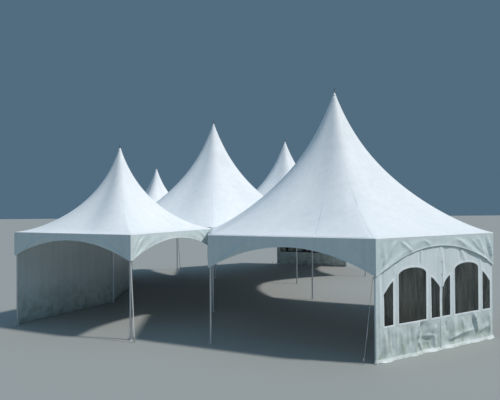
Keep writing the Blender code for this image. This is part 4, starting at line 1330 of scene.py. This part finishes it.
strap_profile = [(-STRAP_HALF, 0.0), (0.001 - STRAP_HALF, STRAP_FACE), (STRAP_HALF - 0.001, STRAP_FACE),
                 (STRAP_HALF, 0.0), (STRAP_HALF - 0.001, -STRAP_FACE), (0.001 - STRAP_HALF, -STRAP_FACE)]
for stay_name, (leg, heading, reach, drop) in STAYS.items():
    way = Vector((math.cos(math.radians(heading)), math.sin(math.radians(heading)), 0.0))
    across = left_of(way)
    leg_middle = at_height(leg_place[leg], EAVE - drop - STAY_HEAD_BELOW)
    head = leg_middle + way * (LUG_REACH + 0.0023)
    stake = at_height(leg_place[leg]) + way * reach
    grip = stake + UP * STAKE_GRIP - way * (STAKE_RADIUS + 0.001)
    run = (grip - head).normalized()
    facing = across.cross(run)
    strap = [(head.lerp(grip, step / 24), across, facing) for step in range(25)]
    tail = [(head.lerp(grip, TAIL_PLACE) + facing * (0.004 + lift) + run * along, across, facing)
            for along, lift in ((0.0, 0.0), (0.10, 0.006), (0.20, 0.003))]
    loop = []
    for angle in angles(90.0, 450.0, 16):
        spoke = way * math.cos(angle) + across * math.sin(angle)
        loop.append((stake + UP * STAKE_GRIP + spoke * (STAKE_RADIUS + 0.0016), UP, spoke))
    webbing = merged([swept(stations, strap_profile) for stations in (strap, tail, loop)])
    stay = add_piece("stay_strap_" + stay_name, webbing, WEBBING)
    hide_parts("stay_" + stay_name)
    buckle = head.lerp(grip, BUCKLE_PLACE)
    corners = [buckle + across * a * BUCKLE_HALF[0] + run * b * BUCKLE_HALF[1] + facing * 0.002
               for a, b in ((-1, -1), (1, -1), (1, 1), (-1, 1))]
    frame_path = [spot.lerp(corners[(index + 1) % 4], share) for index, spot in enumerate(corners)
                  for share in (0.08, 0.5, 0.92)]
    ring = [leg_middle + way * (RING_PLACE + 0.013 * math.cos(angle)) + UP * 0.016 * math.sin(angle)
            for angle in angles(0.0, 360.0, 16)[:-1]]
    lug = leg_middle + way * (TUBE_RADIUS - 0.002)
    bar = [buckle + across * hand * 0.016 + facing * 0.005 for hand in (-1, 1)]
    metal = [wire(frame_path, 0.003, closed=True), wire(ring, 0.0035, closed=True),
             rod(lug, lug + way * 0.010, 0.010), rod(*bar, 0.005, 12),
             turned(STAKE_OUTLINE, stake, steps=24)]
    add_piece("stay_metal_" + stay_name, merged(metal), PIN_STEEL)


# Studio
# A plain pale floor and a soft light from high on the right, a little to the front, as in the photo,
# with an even fill from all round and from above.
FLOOR_HALF = 140.0
FLOOR_COLOUR = (0.34, 0.35, 0.335)
FLOOR_ROUGHNESS = 0.9
FILL_COLOUR = (0.085, 0.150, 0.215)
KEY_COLOUR = (1.0, 0.97, 0.93)
KEY_HEADING = -18.0                 # degrees from the right
KEY_HEIGHT = 52.0
KEY_STRENGTH = 2.65
KEY_SOFTNESS = 5.0
TOP_COLOUR = (0.48, 0.75, 1.0)
TOP_STRENGTH = 0.58
TOP_SOFTNESS = 120.0

corners = [(x * FLOOR_HALF, y * FLOOR_HALF, 0.0) for x, y in ((-1, -1), (1, -1), (1, 1), (-1, 1))]
floor = add_shape("floor", (corners, [(0, 1, 2, 3)]))
floor_finish, floor_shader = start_material("pale_floor")[:2]
fill_sockets(floor_finish, floor_shader, {"Base Color": (*FLOOR_COLOUR, 1.0), "Roughness": FLOOR_ROUGHNESS})
floor.data.materials.append(floor_finish)

world = bpy.data.worlds.new("soft_fill")
world.use_nodes = True
world.node_tree.nodes["Background"].inputs["Color"].default_value = (*FILL_COLOUR, 1.0)
bpy.context.scene.world = world


def add_light(name, colour, strength, softness, heading, height):
    """A broad light from one direction, as a heading from the right and a height in degrees."""
    data = bpy.data.lights.new(name, "SUN")
    data.energy = strength
    data.angle = math.radians(softness)
    data.color = colour
    light = add_object(name, data)
    flat = math.cos(math.radians(height))
    towards = Vector((flat * math.cos(math.radians(heading)), flat * math.sin(math.radians(heading)),
                      math.sin(math.radians(height))))
    light.rotation_mode = "QUATERNION"
    light.rotation_quaternion = towards.to_track_quat("Z", "Y")


add_light("key", KEY_COLOUR, KEY_STRENGTH, KEY_SOFTNESS, KEY_HEADING, KEY_HEIGHT)
add_light("top", TOP_COLOUR, TOP_STRENGTH, TOP_SOFTNESS, 0.0, 90.0)
bpy.context.scene.view_settings.view_transform = "Standard"

# Camera
# It stands where the photo's camera stood, a little above eye level, and looks very slightly up.
CAMERA_FROM_CENTRE = (0.260, -22.545)      # from the middle bay's mast
CAMERA_HEIGHT = 3.485
CAMERA_HEADING = 3.049                     # degrees to the right of straight ahead
CAMERA_UP = 0.556
CAMERA_ROLL = 0.371
CAMERA_LENS = 40.06
SENSOR_WIDTH = 36.0
FURTHEST_VIEW = 500.0

camera_data = bpy.data.cameras.new("camera")
camera_data.lens = CAMERA_LENS
camera_data.sensor_width = SENSOR_WIDTH
camera_data.sensor_fit = "HORIZONTAL"
camera_data.clip_end = FURTHEST_VIEW
camera = add_object("camera", camera_data)
turn = (Matrix.Rotation(math.radians(-CAMERA_HEADING), 3, "Z")
        @ Matrix.Rotation(math.radians(90.0 + CAMERA_UP), 3, "X")
        @ Matrix.Rotation(math.radians(-CAMERA_ROLL), 3, "Z"))
camera.rotation_mode = "QUATERNION"
camera.rotation_quaternion = turn.to_quaternion()
camera.location = at_height(bays["centre"]["middle"] + Vector(CAMERA_FROM_CENTRE), CAMERA_HEIGHT)
bpy.context.scene.camera = camera
